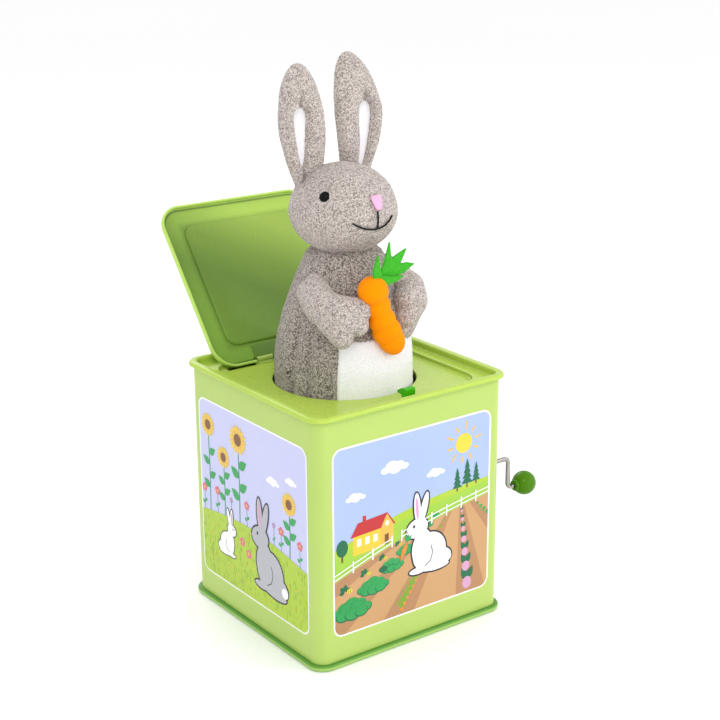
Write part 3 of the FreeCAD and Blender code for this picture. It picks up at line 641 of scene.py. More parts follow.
NOSE_SHIFT = 1.3 * MM


def add_nose():
    """Satin stitch: threads lying side by side across a wedge."""
    low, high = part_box("nose")
    rows = 11
    top, foot = high.z - 1.8 * MM, low.z + 1.0 * MM
    paths = []
    for row in range(rows):
        share = row / (rows - 1)
        z = top + (foot - top) * share
        rounding = math.sqrt(1 - 0.45 * max(0.0, 1 - 4 * share) ** 2 - 0.4 * max(0.0, 4 * share - 3) ** 2)
        reach = (high.x - low.x) / 2 * 0.9 * (1 - 0.5 * share) * rounding
        paths.append([on_face(NOSE_SHIFT + reach * (2 * step / 12 - 1), z,
                              0.9 + 0.5 * math.cos(math.pi * (step / 12 - 0.5))) for step in range(13)])
    add_stitches("rabbit_nose", "nose", PINK_THREAD, "pink_thread", paths, 0.55 * MM, 8)


def add_mouth():
    """A line down from the nose and a smile, in twisted black thread."""
    low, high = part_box("mouth_stitch")
    corner_drop = (high.z - low.z) * 0.56
    join_z = low.z - 0.4 * MM
    smile = []
    for step in range(41):
        share = step / 40
        x = low.x - 2.2 * MM + (high.x - low.x + 0.6 * MM) * share
        lift_share = abs(2 * share - 1) ** 2.2
        smile.append(on_face(x, join_z + corner_drop * (0.78 + 0.22 * share) * lift_share, 0.85))
    rise = high.z - 0.5 * MM - join_z
    line = [on_face(0.3 * MM, join_z + rise * step / 14, 0.8) for step in range(15)]
    add_stitches("rabbit_mouth", "mouth_stitch", BLACK_THREAD, "black_thread", (smile, line),
                 0.62 * MM, 12, 0.9, 2, 0.28)


EAR_STEPS, EAR_ROWS = 150, 150
EAR_WIDEST = 0.55  # shares of the ear's length from its root
EAR_TIP = 0.47
EAR_FOLDED = 0.38  # what is left of its length in the closed box


def ear_width(share):
    """Half width of the ear as a share of its widest, from root to tip."""
    root = 0.52 + 0.48 * math.sin(min(share / EAR_WIDEST, 1.0) * math.pi / 2)
    tip = max(0.0, 1 - max(0.0, (share - EAR_TIP) / (1 - EAR_TIP)) ** 2.1) ** 0.52
    return root * tip


def slit_width(share, low, high):
    """Half width of the opening as a share of its widest."""
    if not low < share < high:
        return 0.0
    along = (share - low) / (high - low)
    return (0.28 + 0.72 * along) * math.sqrt(1 - abs(2 * along - 1) ** 5)


def add_ear(side, lean, bow, slit, slit_shift):
    """A leaf of plush whose rims roll forward round a white lining."""
    node = side + "_ear"
    low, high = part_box(node)
    centre, half = middle(node), half_size(node)
    root_z, tip_z = low.z - MM, high.z
    slit_low, slit_high, slit_half = slit
    rings, lining = [], []
    for row in range(EAR_ROWS):
        share = 1 - (1 - row / (EAR_ROWS - 1)) ** 1.25
        z = root_z + (tip_z - root_z) * share
        wide = max(half.x * ear_width(share), 0.15 * MM)
        deep = max(half.y * (0.72 + 0.28 * share) * min(1.0, ear_width(share) * 1.25), 0.15 * MM)
        sway = lean[0] * (1 - share) ** 2 + lean[1] * share ** 2 + bow * math.sin(share * math.pi)
        x0 = centre.x + sway * MM
        gap = slit_half * MM * slit_width(share, slit_low, slit_high)
        gap_x = slit_shift[0] * (1 - share) * MM + slit_shift[1] * share * MM
        fold = math.exp(-((max(0.0, share - slit_high)) / 0.09) ** 2)
        ring = []
        for step in range(EAR_STEPS):
            angle = math.tau * step / EAR_STEPS
            across = math.cos(angle)
            x = wide * across
            if math.sin(angle) >= 0:
                y = 0.75 * deep * math.sin(angle)
            else:
                edge = (wide + gap_x) if x < gap_x else (wide - gap_x)
                away = abs(x - gap_x)
                reach = max(edge - gap, 0.5 * MM)
                inside = (away - gap) / reach
                plain = -deep * math.sqrt(max(0.0, 1 - across * across))
                if inside < 0:
                    y = -0.05 * deep
                else:
                    roll = -deep * math.sqrt(max(0.0, 1 - min(1.0, abs(2 * inside - 1)) ** 2.6))
                    y = roll * fold + plain * (1 - fold)
            ring.append((x0 + x, centre.y + y, z))
        rings.append(ring)
        if gap > 0:
            spots = [2 * step / 20 - 1 for step in range(21)]
            lining.append([(x0 + gap_x + (gap + 1.2 * MM) * spot,
                            centre.y - 0.05 * deep - 1.2 * MM + 0.5 * MM * spot ** 2, z) for spot in spots])
    name = "rabbit_" + node
    ear = add_object(name, skin(name, rings, capped=True), [GREY_PLUSH])
    add_pile(ear, height=0.5, soft=0.3)
    finish_soft(ear, node)
    name += "_lining"
    inner = add_object(name, skin(name, lining, closed=False), [WHITE_PLUSH])
    add_pile(inner, height=0.2, size=1.1, soft=0.1)
    finish_soft(inner, node + "_lining")
    for piece in (ear, inner):
        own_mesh(piece)


TUNIC_LOW, TUNIC_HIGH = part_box("tunic")
TUNIC_RADIUS = half_size("tunic").x
DECK_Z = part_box("top_panel")[0].z
TUNIC_SIDES = 420
LEAN = 1.5 * MM
UPRIGHT_Z = 0.185
TUNIC_TOP = TUNIC_HIGH.z + 5.0 * MM
PROFILE = [(1.0, TUNIC_LOW.z), (1.0, 0.151), (0.985, 0.166), (0.945, 0.178), (0.83, 0.196), (0.675, 0.214),
           (0.585, 0.223), (0.53, 0.2285), (0.44, TUNIC_TOP), (0.32, TUNIC_TOP + 0.0005)]


def tunic_radius(z):
    """Radius of the plain tunic at a height, by straight runs that are softened below."""
    return TUNIC_RADIUS * float(np.interp(z, [row[1] for row in PROFILE], [row[0] for row in PROFILE]))


def soft_radius(z, spread_by=0.004):
    return sum(tunic_radius(z + shift * spread_by) for shift in (-1, -0.5, 0, 0.5, 1)) / 5


def ease(value, low, high):
    share = min(1.0, max(0.0, (value - low) / (high - low)))
    return share * share * (3 - 2 * share)


def body_point(radius, angle, z):
    """A point round the tunic, which leans a little sideways under the deck."""
    lean = -LEAN * (1 - ease(z, DECK_Z, UPRIGHT_Z))
    return (radius * math.cos(angle) + lean, radius * math.sin(angle), z)


SIDE_FOLDS = ((186.0, 0.202, 3.2, 3.0), (204.0, 0.196, 2.4, 2.8), (-9.0, 0.190, 2.2, 3.4),
              (195.0, 0.19, -0.5, 3.0), (150.0, 0.172, 0.9, 5.0), (219.0, 0.176, 0.9, 3.5),
              (70.0, 0.185, 1.2, 6.0), (110.0, 0.18, 1.0, 6.0))


def folds(angle, z):
    """Depth in metres of the side folds and the pull of the stuffing."""
    deep = 0.0
    for where, top, amount, wide in SIDE_FOLDS:
        away = (math.degrees(angle) - where + 180.0) % 360.0 - 180.0
        reach = math.radians(away) * TUNIC_RADIUS / MM / wide
        deep += amount * math.exp(-reach * reach) * (1 - ease(z, top - 0.02, top))
    return deep * MM


def crumple(piece):
    """The piece gets its own copy of its mesh."""
    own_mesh(piece)


def add_tunic():
    rows = list(np.linspace(TUNIC_LOW.z, DECK_Z - 0.004, 30))
    rows += list(np.linspace(DECK_Z - 0.003, TUNIC_TOP, 165))
    rings = []
    for z in rows:
        ring = []
        for step in range(TUNIC_SIDES):
            angle = math.tau * step / TUNIC_SIDES
            fill = 0.5 * MM * math.sin(3 * angle + 40 * z) * ease(z, DECK_Z, 0.17)
            fold = folds(angle, z) * ease(z, TUNIC_LOW.z + 0.05, DECK_Z)
            ring.append(body_point(soft_radius(z) - fold + fill - 0.3 * MM, angle, z))
        rings.append(ring)
    tunic = add_object("rabbit_tunic", skin("rabbit_tunic", rings), [TUNIC_PLUSH_PAINTED_SHADE])
    add_pile(tunic, soft=0.3)
    finish_soft(tunic, "tunic")
    crumple(tunic)


def add_belly():
    """The white panel let into the front of the tunic, turned in at its seams."""
    low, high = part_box("belly_patch")
    bottom, top = low.z, high.z
    left, right = math.radians(229.5), math.radians(318.0)
    columns, rows = 130, 150
    rings = []
    for row in range(rows):
        z = bottom + (top - bottom) * row / (rows - 1)
        ring = []
        for step in range(columns):
            share = step / (columns - 1)
            angle = left + (right - left) * share
            rim = min(share, 1 - share) * (right - left) * TUNIC_RADIUS / MM
            turned = 1.5 * math.exp(-(rim / 0.8) ** 2) + 1.2 * math.exp(-((top - z) / MM / 1.5) ** 2)
            ring.append(body_point(soft_radius(z) + (0.9 - turned) * MM, angle, z))
        rings.append(ring)
    belly = add_object("rabbit_belly", skin("rabbit_belly", rings, closed=False), [WHITE_PLUSH])
    add_pile(belly, height=0.3, size=1.3, soft=0.25)
    finish_soft(belly, "belly_patch")
    crumple(belly)


def add_arms():
    """Bent arms that end in three stuffed fingers."""
    left = [(mm(-25, -7, 212), 6.5, mm(-29, -15, 206.5), 9.5),
            (mm(-28, -8, 206.5), 9.3, mm(-30.5, -22, 202.5), 10.8),
            (mm(-30.5, -22, 202.5), 10.8, mm(-27.5, -33, 199), 11.0),
            (mm(-27.5, -33, 200.5), 10.8, mm(-17.8, -39, 202), 7.4),
            (mm(-27.5, -33, 199), 10.5, mm(-19.5, -40, 194.0), 6.8),
            (mm(-30, -31, 197), 10.0, mm(-29, -38.5, 187.8), 6.6)]
    right = [(mm(24, -9, 216), 7.0, mm(30, -15, 207), 9.8),
             (mm(28.5, -8, 209), 9.3, mm(33, -19, 202.5), 10.6),
             (mm(33, -19, 202.5), 10.6, mm(29.5, -27, 197), 10.3),
             (mm(29.5, -27, 199), 10.0, mm(22.5, -31, 200), 7.6),
             (mm(29.5, -27, 196), 9.5, mm(21.5, -33, 190), 7.0),
             (mm(29.5, -26, 193), 8.5, mm(21.0, -32, 182.5), 6.0)]
    for side, bones in (("left", left), ("right", right)):
        arm = blob("rabbit_" + side + "_arm", bones, 0.6, 11, [GREY_PLUSH])
        add_pile(arm, soft=0.25)
        finish_soft(arm, side + "_arm")
        crumple(arm)


CINCHES = ((0.31, 1.8), (0.47, 0.9), (0.62, 1.2), (0.79, 0.6))


def carrot_radius(share):
    """Radius along the carrot in millimetres: plump stretches between drawn threads, and rounded ends."""
    body = 9.2 - 0.7 * share - 1.3 * math.exp(-((share - 0.42) / 0.13) ** 2)
    body -= 2.6 * max(0.0, (share - 0.7) / 0.3) ** 1.5
    drawn = sum(deep * math.exp(-abs((share - where) / 0.032) ** 1.3) for where, deep in CINCHES)
    head_end = math.sqrt(max(0.0, 1 - max(0.0, 1 - share / 0.19) ** 2))
    tip_end = math.sqrt(max(0.0, 1 - max(0.0, (share - 0.86) / 0.14) ** 2.4))
    return max(0.12, (body - drawn) * head_end * tip_end)


def add_carrot():
    """Orange felt drawn in by threads into plump stretches."""
    spine = smooth_path([mm(-12.2, -40.2, 220.4), mm(-9.0, -41.0, 211.5), mm(-6.5, -42.2, 202.5),
                         mm(-3.2, -43.2, 193.0), mm(1.2, -43.8, 184.0), mm(7.2, -43.8, 173.6)], 30)
    rings = tube(spine, MM, 110)
    last = len(spine) - 1
    shaped = []
    for index, ring in enumerate(rings):
        share = index / last
        radius = carrot_radius(share)
        shaped.append([spine[index] + (point - spine[index]) * radius
                       * (1 + 0.03 * math.sin(3 * math.tau * step / 110 + 7 * share))
                       for step, point in enumerate(ring)])
    carrot = add_object("felt_carrot", skin("felt_carrot", shaped, capped=True), [CARROT_FELT])
    add_pile(carrot, height=0.06, size=0.9, soft=0.3)
    finish_soft(carrot, "carrot")
    crumple(carrot)


def leaf(outline, front_y, lean, thick=1.5):
    """Points and faces of one flat felt frond, bent a little forward towards its tips."""
    bm = bmesh.new()
    verts = [bm.verts.new((x * MM, 0, z * MM)) for x, z in outline]
    face = bm.faces.new(verts)
    face.normal_update()
    bmesh.ops.triangulate(bm, faces=[face], quad_method="FIXED", ngon_method="EAR_CLIP")
    bmesh.ops.subdivide_edges(bm, edges=bm.edges[:], cuts=3)
    base_z = min(vertex.co.z for vertex in bm.verts)
    for vertex in bm.verts:
        rise = (vertex.co.z - base_z) / MM
        vertex.co.y = (front_y + lean * (rise / 24.0) ** 2) * MM
    extruded = bmesh.ops.extrude_face_region(bm, geom=bm.faces[:])
    for item in extruded["geom"]:
        if isinstance(item, bmesh.types.BMVert):
            item.co.y += thick * MM
    bmesh.ops.recalc_face_normals(bm, faces=bm.faces[:])
    return bm


def add_leaves():
    back = [(-6.0, 216.5), (-1.0, 229.0), (0.6, 235.0), (1.8, 239.8), (2.9, 233.0), (3.6, 229.6),
            (8.5, 232.0), (14.1, 234.2), (11.4, 228.6), (9.6, 225.6), (15.5, 225.8), (20.5, 224.3),
            (14.0, 220.8), (7.0, 218.5), (-3.0, 215.2)]
    front = [(-10.6, 215.8), (-10.4, 226.0), (-8.2, 233.8), (-6.2, 226.5), (-4.6, 221.4), (2.0, 219.8),
             (11.0, 219.0), (7.5, 217.0), (2.0, 215.6), (-3.0, 214.9)]
    bm = leaf(back, -42.0, -1.0)
    other = leaf(front, -44.0, -2.5)
    extra = mesh_from("felt_leaves_front", other, False)
    bm.from_mesh(extra)
    bpy.data.meshes.remove(extra)
    leaves = add_object("felt_leaves", mesh_from("felt_leaves", bm, False), [LEAF_FELT])
    finish_soft(leaves, "carrot_leaves")
    crumple(leaves)


def add_spring():
    """The steel spring under the tunic, drawn lighter than its CAD."""
    low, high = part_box("puppet_spring")
    wire = MM
    wide, narrow = half_size("puppet_spring").x - wire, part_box("neck_plate")[1].x - 3.0 * MM
    turns, steps = 9, 40
    path = []
    for step in range(turns * steps + 1):
        share = step / (turns * steps)
        radius = wide + (narrow - wide) * share
        angle = math.tau * share * turns
        z = low.z + wire + (high.z - low.z - 2 * wire) * share
        path.append((radius * math.cos(angle), radius * math.sin(angle), z))
    spring = add_object("spring_coil", skin("spring_coil", tube(path, wire, 8), capped=True), [STEEL_BRIGHT])
    finish_soft(spring, "puppet_spring", "box")
    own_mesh(spring)


add_head()
add_eye("rabbit_left_eye", "left_eye")
add_eye("rabbit_right_eye", "right_eye")
add_nose()
add_mouth()
add_ear("left", (5.0, -1.5), 0.0, (0.19, 0.665, 5.6), (-4.0, -0.8))
add_ear("right", (-1.5, -6.2), 3.4, (0.07, 0.615, 5.4), (2.0, 5.6))
add_tunic()
add_belly()
add_arms()
add_carrot()
add_leaves()
add_spring()


# ---------------------------------------------------------------- the printed pictures

INK_TONES = {
    "white": [(1.12, 1.12, 1.12)],
    "cream": [(1.0, 1.0, 1.04), (0.93, 0.93, 1.0)],
    "grey": [(0.50, 0.50, 0.56), (0.58, 0.58, 0.64)],
    "black": [(0.02, 0.02, 0.025)],
    "sky": [(0.445, 0.57, 0.97), (0.47, 0.595, 0.97)],
    "lilac": [(0.65, 0.67, 1.0), (0.68, 0.70, 1.0)],
    "sun": [(1.0, 0.78, 0.06), (1.0, 0.68, 0.04)],
    "orange": [(0.95, 0.30, 0.04)],
    "amber": [(0.95, 0.58, 0.10)],
    "seed": [(0.28, 0.12, 0.03), (0.20, 0.08, 0.02)],
    "grass": [(0.45, 0.66, 0.03), (0.52, 0.72, 0.05)],
    "meadow": [(0.36, 0.66, 0.05), (0.42, 0.70, 0.07)],
    "blade": [(0.22, 0.46, 0.03)],
    "leaf": [(0.02, 0.36, 0.08), (0.03, 0.44, 0.11)],
    "leaf_dark": [(0.008, 0.17, 0.07)],
    "stem": [(0.02, 0.33, 0.17)],
    "soil": [(0.70, 0.40, 0.18), (0.66, 0.37, 0.16)],
    "furrow": [(0.55, 0.28, 0.13), (0.51, 0.26, 0.12)],
    "red": [(0.62, 0.03, 0.03)],
    "yellow": [(0.93, 0.68, 0.05)],
    "pink": [(0.85, 0.20, 0.28)],
    "rose": [(0.80, 0.42, 0.66)],
    "violet": [(0.48, 0.28, 0.62)],
}
INKS = {name: ink("ink_" + name, *tones) for name, tones in INK_TONES.items()}
INK_NAMES = list(INKS)
PRINT_HALF = 58.5 * MM
PRINT_LOW, PRINT_HIGH = 18.5 * MM, 135.0 * MM
PRINT_ROUND = 6.5 * MM
INK_STEP = 0.03 * MM
INK_TURNS = 60
WALL = -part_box("box_body")[0].y


def rounded_frame(inset):
    """The outline of a picture, in metres across and up, with rounded corners."""
    points = []
    radius = PRINT_ROUND - inset
    for corner, (sx, sz) in enumerate(((1, 1), (-1, 1), (-1, -1), (1, -1))):
        cx = sx * (PRINT_HALF - PRINT_ROUND)
        cz = PRINT_HIGH - PRINT_ROUND if sz > 0 else PRINT_LOW + PRINT_ROUND
        for step in range(9):
            angle = math.pi / 2 * (corner + step / 8)
            points.append((cx + radius * math.cos(angle), cz + radius * math.sin(angle)))
    return points


def clipped(shape, window):
    """The part of a shape inside a convex window that runs anticlockwise."""
    for start, end in zip(window, window[1:] + window[:1]):
        kept = []
        for before, after in zip(shape[-1:] + shape[:-1], shape):
            sides = [(end[0] - start[0]) * (p[1] - start[1]) - (end[1] - start[1]) * (p[0] - start[0])
                     for p in (before, after)]
            if (sides[0] >= 0) != (sides[1] >= 0):
                share = sides[0] / (sides[0] - sides[1])
                kept.append((before[0] + (after[0] - before[0]) * share,
                             before[1] + (after[1] - before[1]) * share))
            if sides[1] >= 0:
                kept.append(after)
        shape = kept
        if len(shape) < 3:
            return []
    return shape


class Picture:
    """Flat printed shapes on one wall; places run from 0 to 1 across and up the picture."""

    def __init__(self):
        self.shapes = []
        self.window = rounded_frame(1.1 * MM)

    def metres(self, points):
        return [((2 * x - 1) * PRINT_HALF, PRINT_LOW + (PRINT_HIGH - PRINT_LOW) * y) for x, y in points]

    def shape(self, points, colour, layer):
        inside = clipped(self.metres(points), self.window)
        if len(inside) >= 3:
            self.shapes.append((inside, colour, layer))

    def disc(self, x, y, wide, high, colour, layer, turn=0.0, sides=20):
        c, s = math.cos(math.radians(turn)), math.sin(math.radians(turn))
        points = []
        for step in range(sides):
            a, b = wide * math.cos(math.tau * step / sides), high * math.sin(math.tau * step / sides)
            points.append((x + a * c - b * s, y + a * s + b * c))
        self.shape(points, colour, layer)

    def spot(self, x, y, radius, colour, layer, sides=20):
        self.disc(x, y, radius, radius, colour, layer, sides=sides)

    def line(self, points, width, colour, layer):
        for (x0, y0), (x1, y1) in zip(points, points[1:]):
            dx, dy = x1 - x0, y1 - y0
            length = math.hypot(dx, dy)
            nx, ny = -dy / length * width / 2, dx / length * width / 2
            self.shape([(x0 + nx, y0 + ny), (x0 - nx, y0 - ny), (x1 - nx, y1 - ny), (x1 + nx, y1 + ny)],
                       colour, layer)

    def leaf(self, x, y, length, turn, colour, layer, plump=0.3):
        """A pointed leaf growing from a place."""
        c, s = math.cos(math.radians(turn)), math.sin(math.radians(turn))
        edge = [(length * t, plump * length * math.sin(math.pi * t ** 0.8)) for t in (0, .2, .4, .6, .8, 1)]
        outline = edge + [(a, -b) for a, b in edge[-2:0:-1]]
        self.shape([(x + a * c - b * s, y + a * s + b * c) for a, b in outline], colour, layer)

    def cloud(self, x, y, size):
        for dx, dy, r in ((-0.9, 0, 0.45), (-0.3, 0.28, 0.6), (0.35, 0.2, 0.52), (0.9, 0.0, 0.4),
                          (0, -0.05, 0.6)):
            self.disc(x + dx * size, y + dy * size, r * size, r * size * 0.62, "white", 2)

    def sunflower(self, x, foot, top, size):
        self.line([(x, foot), (x + 0.006, (foot + top) / 2), (x, top)], 0.008, "stem", 3)
        for number, share in enumerate((0.30, 0.42, 0.56, 0.68)):
            turn = 32 if number % 2 else 148
            self.leaf(x + 0.003, foot + (top - foot) * share, size * 1.15, turn, "leaf", 4)
        for step in range(16):
            self.leaf(x, top, size * 1.12, step * 22.5, "sun", 5, 0.17)
            self.leaf(x, top, size * 0.98, step * 22.5 + 11, "amber", 6, 0.14)
        self.spot(x, top, size * 0.45, "seed", 7)

    def blossom(self, x, foot, top, size, colour):
        self.line([(x, foot), (x, top)], 0.004, "stem", 3)
        self.leaf(x, foot + (top - foot) * 0.45, size * 1.1, 35, "leaf", 4)
        self.leaf(x, foot + (top - foot) * 0.35, size * 1.1, 145, "leaf", 4)
        for step in range(5):
            angle = math.radians(90 + 72 * step)
            self.spot(x + size * 0.55 * math.cos(angle), top + size * 0.55 * math.sin(angle),
                      size * 0.42, colour, 5, 12)
        self.spot(x, top, size * 0.26, "yellow", 6, 12)

    def rabbit(self, x, y, size, colour, face=1):
        """A plain sitting rabbit seen from its side."""
        parts = [(0.0, 0.30, 0.30, 0.30, 0), (-0.10, 0.16, 0.30, 0.17, 0), (0.14, 0.42, 0.17, 0.26, 12),
                 (0.22, 0.72, 0.19, 0.145, -8), (0.10, 1.00, 0.058, 0.24, 14), (0.22, 1.02, 0.058, 0.24, -4),
                 (0.20, 0.06, 0.16, 0.05, 0), (-0.14, 0.04, 0.22, 0.055, 0)]
        for dx, dy, wide, high, turn in parts:
            place_x, place_y = x + face * dx * size, y + dy * size
            edge = 0.022 * size + 0.0012
            self.disc(place_x, place_y, wide * size + edge, high * size + edge, "black", 8, face * turn, 28)
            self.disc(place_x, place_y, wide * size, high * size, colour, 9, face * turn, 28)
        self.spot(x - face * 0.33 * size, y + 0.14 * size, 0.085 * size, "black", 8)
        self.spot(x - face * 0.33 * size, y + 0.14 * size, 0.072 * size, "white", 10)
        self.disc(x + face * 0.225 * size, y + 1.02 * size, 0.024 * size, 0.17 * size, "rose", 10, face * -4)
        self.disc(x + face * 0.28 * size, y + 0.76 * size, 0.020 * size, 0.024 * size, "black", 10)
        self.disc(x + face * 0.40 * size, y + 0.70 * size, 0.022 * size, 0.016 * size, "rose", 10)
        bend = [(0.03, 0.40), (0.06, 0.28), (0.02, 0.16), (-0.08, 0.10)]
        self.line([(x - face * dx * size, y + dy * size) for dx, dy in bend], 0.012 * size, "black", 10)

    def tufts(self, top_at, count, seed):
        dice = random.Random(seed)
        for _ in range(count):
            x = dice.uniform(0.01, 0.99)
            y = dice.uniform(0.01, top_at(x) - 0.03)
            tip = (x + dice.uniform(-0.004, 0.004), y + dice.uniform(0.016, 0.030))
            self.line([(x, y), tip], 0.0034, "blade", 6)
        for _ in range(count // 9):
            x = dice.uniform(0.03, 0.97)
            self.spot(x, dice.uniform(0.03, top_at(x) - 0.03), 0.006, "yellow", 7, 10)

    def build(self, name, turn_deg):
        """The picture as thin skins on the wall that faces -Y turned about Z."""
        border = rounded_frame(0.0)
        shapes = [(border, "white", 0)] + self.shapes
        points, faces, colours = [], [], []
        counts = {}
        for outline, colour, layer in shapes:
            turn = counts[layer] = counts.get(layer, 0) + 1
            depth = -(WALL + 0.06 * MM + INK_STEP * (layer + turn % INK_TURNS / INK_TURNS * 0.9))
            base = len(points)
            points.extend((x, depth, z) for x, z in outline)
            faces.append(tuple(range(base, base + len(outline))))
            colours.append(INK_NAMES.index(colour))
        mesh = bpy.data.meshes.new(name)
        mesh.from_pydata(points, [], faces)
        mesh.polygons.foreach_set("material_index", colours)
        mesh.transform(Matrix.Rotation(math.radians(turn_deg), 4, "Z"))
        obj = add_object(name, mesh, [INKS[key] for key in INK_NAMES])
        bm = bmesh.new()
        bm.from_mesh(mesh)
        bmesh.ops.triangulate(bm, faces=bm.faces[:], ngon_method="EAR_CLIP")
        outward = Matrix.Rotation(math.radians(turn_deg), 3, "Z") @ Vector((0, -1, 0))
        for face in bm.faces:
            face.normal_update()
            if face.normal.dot(outward) < 0:
                face.normal_flip()
        bm.to_mesh(mesh)
        bm.free()
        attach(obj, "box")


FULL = [(0, 0), (1, 0), (1, 1), (0, 1)]


def hill_line(height, wave, lift=0.0):
    return lambda x: height + lift * x + wave * math.sin(math.pi * x)


def under(line, steps=24):
    return [(0, 0), (1, 0)] + [(1 - step / steps, line(1 - step / steps)) for step in range(steps + 1)]


def farm_picture(name, turn_deg, seed, with_rabbit):
    """Rolling hills, a cottage and rows of vegetables running to the horizon."""
    picture = Picture()
    dice = random.Random(seed)
    picture.shape(FULL, "sky", 1)
    sun_x, sun_y = 0.82, 0.85
    for step in range(10):
        angle = math.tau * (step + 0.3) / 10
        near, far = 0.072, 0.105 if step % 2 else 0.118
        ends = [(sun_x + reach * math.cos(angle), sun_y + reach * math.sin(angle))
                for reach in (near, far)]
        picture.line(ends, 0.011, "amber", 2)
    picture.spot(sun_x, sun_y, 0.053, "sun", 3, 32)
    for x, y, size in ((0.14, 0.72, 0.045), (0.38, 0.82, 0.065), (0.64, 0.73, 0.045)):
        picture.cloud(x, y, size)
    meadow = hill_line(0.43, 0.02, 0.18)
    picture.shape(under(hill_line(0.47, 0.035, 0.16)), "grass", 2)
    picture.shape(under(meadow), "meadow", 3)
    for x, size in ((0.78, 0.12), (0.845, 0.145), (0.905, 0.11)):
        foot = meadow(x) + 0.01
        picture.line([(x, foot), (x, foot + size * 0.3)], 0.010, "seed", 4)
        for tier in range(4):
            low, wide = foot + size * (0.16 + 0.2 * tier), size * (0.26 - 0.05 * tier)
            corners = [(x - wide, low), (x + wide, low), (x, low + size * 0.34)]
            picture.shape(corners, "leaf_dark", 5 + tier % 2)
    house(picture, 0.12, 0.415)
    picture.line([(0.055, 0.40), (0.055, 0.44)], 0.012, "seed", 4)
    picture.disc(0.055, 0.475, 0.035, 0.045, "leaf_dark", 6)
    field = hill_line(0.30, 0.03, 0.235)
    picture.shape(under(field), "soil", 4)
    vanish = (0.80, field(0.80) + 0.10)
    furrows = ((-0.75, -0.45), (-0.12, 0.06), (0.30, 0.50), (0.78, 0.98), (1.22, 1.45))
    for left, right in furrows:
        ends = []
        for foot_x in (left, right):
            share = next(t / 200 for t in range(201) if t == 200
                         or vanish[1] * t / 200 >= field(foot_x + (vanish[0] - foot_x) * t / 200) - 0.004)
            ends.append((foot_x + (vanish[0] - foot_x) * share, vanish[1] * share))
        picture.shape([(left, 0), (right, 0), ends[1], ends[0]], "furrow", 5)

    def row(foot_x, shares):
        for share in shares:
            yield foot_x + (vanish[0] - foot_x) * share, vanish[1] * share, 1 - share

    for x, y, near in row(-0.02, (0.16, 0.32, 0.46, 0.57, 0.665, 0.745, 0.81)):
        cabbage(picture, x, y, 0.105 * near ** 1.05, dice)
    for x, y, near in row(-0.42, (0.40, 0.50, 0.59, 0.67, 0.74)):
        squash_plant(picture, x, y, 0.10 * near)
    for x, y, near in row(0.40, [0.06 + 0.045 * step for step in range(18)]):
        for turn in (70, 95, 120):
            picture.leaf(x, y, 0.085 * near, turn, "blade", 6, 0.08)
        picture.disc(x, y, 0.010 * near, 0.012 * near, "orange", 7, sides=12)
    for x, y, near in row(0.86, (0.10, 0.26, 0.40, 0.52, 0.62, 0.71, 0.79)):
        for turn in (62, 118):
            picture.leaf(x, y + 0.02 * near, 0.09 * near, turn, "leaf_dark", 6, 0.28)
        picture.disc(x, y, 0.034 * near, 0.038 * near, "rose", 7, sides=16)
    for x, y, near in row(1.45, [0.36 + 0.035 * step for step in range(14)]):
        picture.spot(x, y, 0.05 * near, "leaf", 6, 12)
        picture.spot(x + 0.03 * near, y - 0.02 * near, 0.022 * near, "orange", 7, 12)
    for gap in ((0.0, 0.36), (0.42, 1.0)):
        fence(picture, field, *gap)
    if with_rabbit:
        picture.rabbit(0.60, 0.20, 0.36, "cream", -1)
        picture.leaf(0.455, 0.40, 0.10, 245, "orange", 11, 0.14)
        for turn in (50, 75, 100):
            picture.leaf(0.455, 0.40, 0.045, turn, "leaf", 11, 0.2)
    picture.build(name, turn_deg)


HOUSE = (
    ("yellow", 4, (0, 0), (0.17, 0.005), (0.17, 0.11), (0, 0.105)),
    ("amber", 4, (0.17, 0.005), (0.25, 0.02), (0.25, 0.12), (0.21, 0.175), (0.17, 0.11)),
    ("red", 5, (-0.015, 0.10), (0.172, 0.108), (0.212, 0.182), (0.03, 0.17)),
    ("red", 5, (0.205, 0.185), (0.215, 0.178), (0.262, 0.112), (0.252, 0.108)),
    ("red", 5, (0.06, 0.165), (0.08, 0.165), (0.08, 0.20), (0.06, 0.20)),
    ("white", 6, (0.025, 0.045), (0.05, 0.046), (0.05, 0.085), (0.025, 0.084)),
    ("white", 6, (0.075, 0.045), (0.1, 0.046), (0.1, 0.085), (0.075, 0.084)),
    ("white", 6, (0.125, 0.045), (0.15, 0.046), (0.15, 0.085), (0.125, 0.084)),
    ("seed", 6, (0.195, 0.010), (0.22, 0.014), (0.22, 0.07), (0.195, 0.066)),
)


def house(picture, x, y):
    """A small cottage with a pitched roof."""
    for colour, layer, *corners in HOUSE:
        picture.shape([(x + dx, y + dy) for dx, dy in corners], colour, layer)
    picture.disc(x + 0.21, y + 0.125, 0.012, 0.014, "white", 6)


def fence(picture, line, start, end):
    for lift in (0.012, 0.036):
        across = [start + (end - start) * step / 12 for step in range(13)]
        picture.line([(x, line(x) + lift) for x in across], 0.006, "white", 10)
    posts = max(2, int((end - start) / 0.095))
    for step in range(posts + 1):
        x = start + (end - start) * step / posts
        picture.line([(x, line(x) - 0.012), (x, line(x) + 0.052)], 0.008, "white", 11)


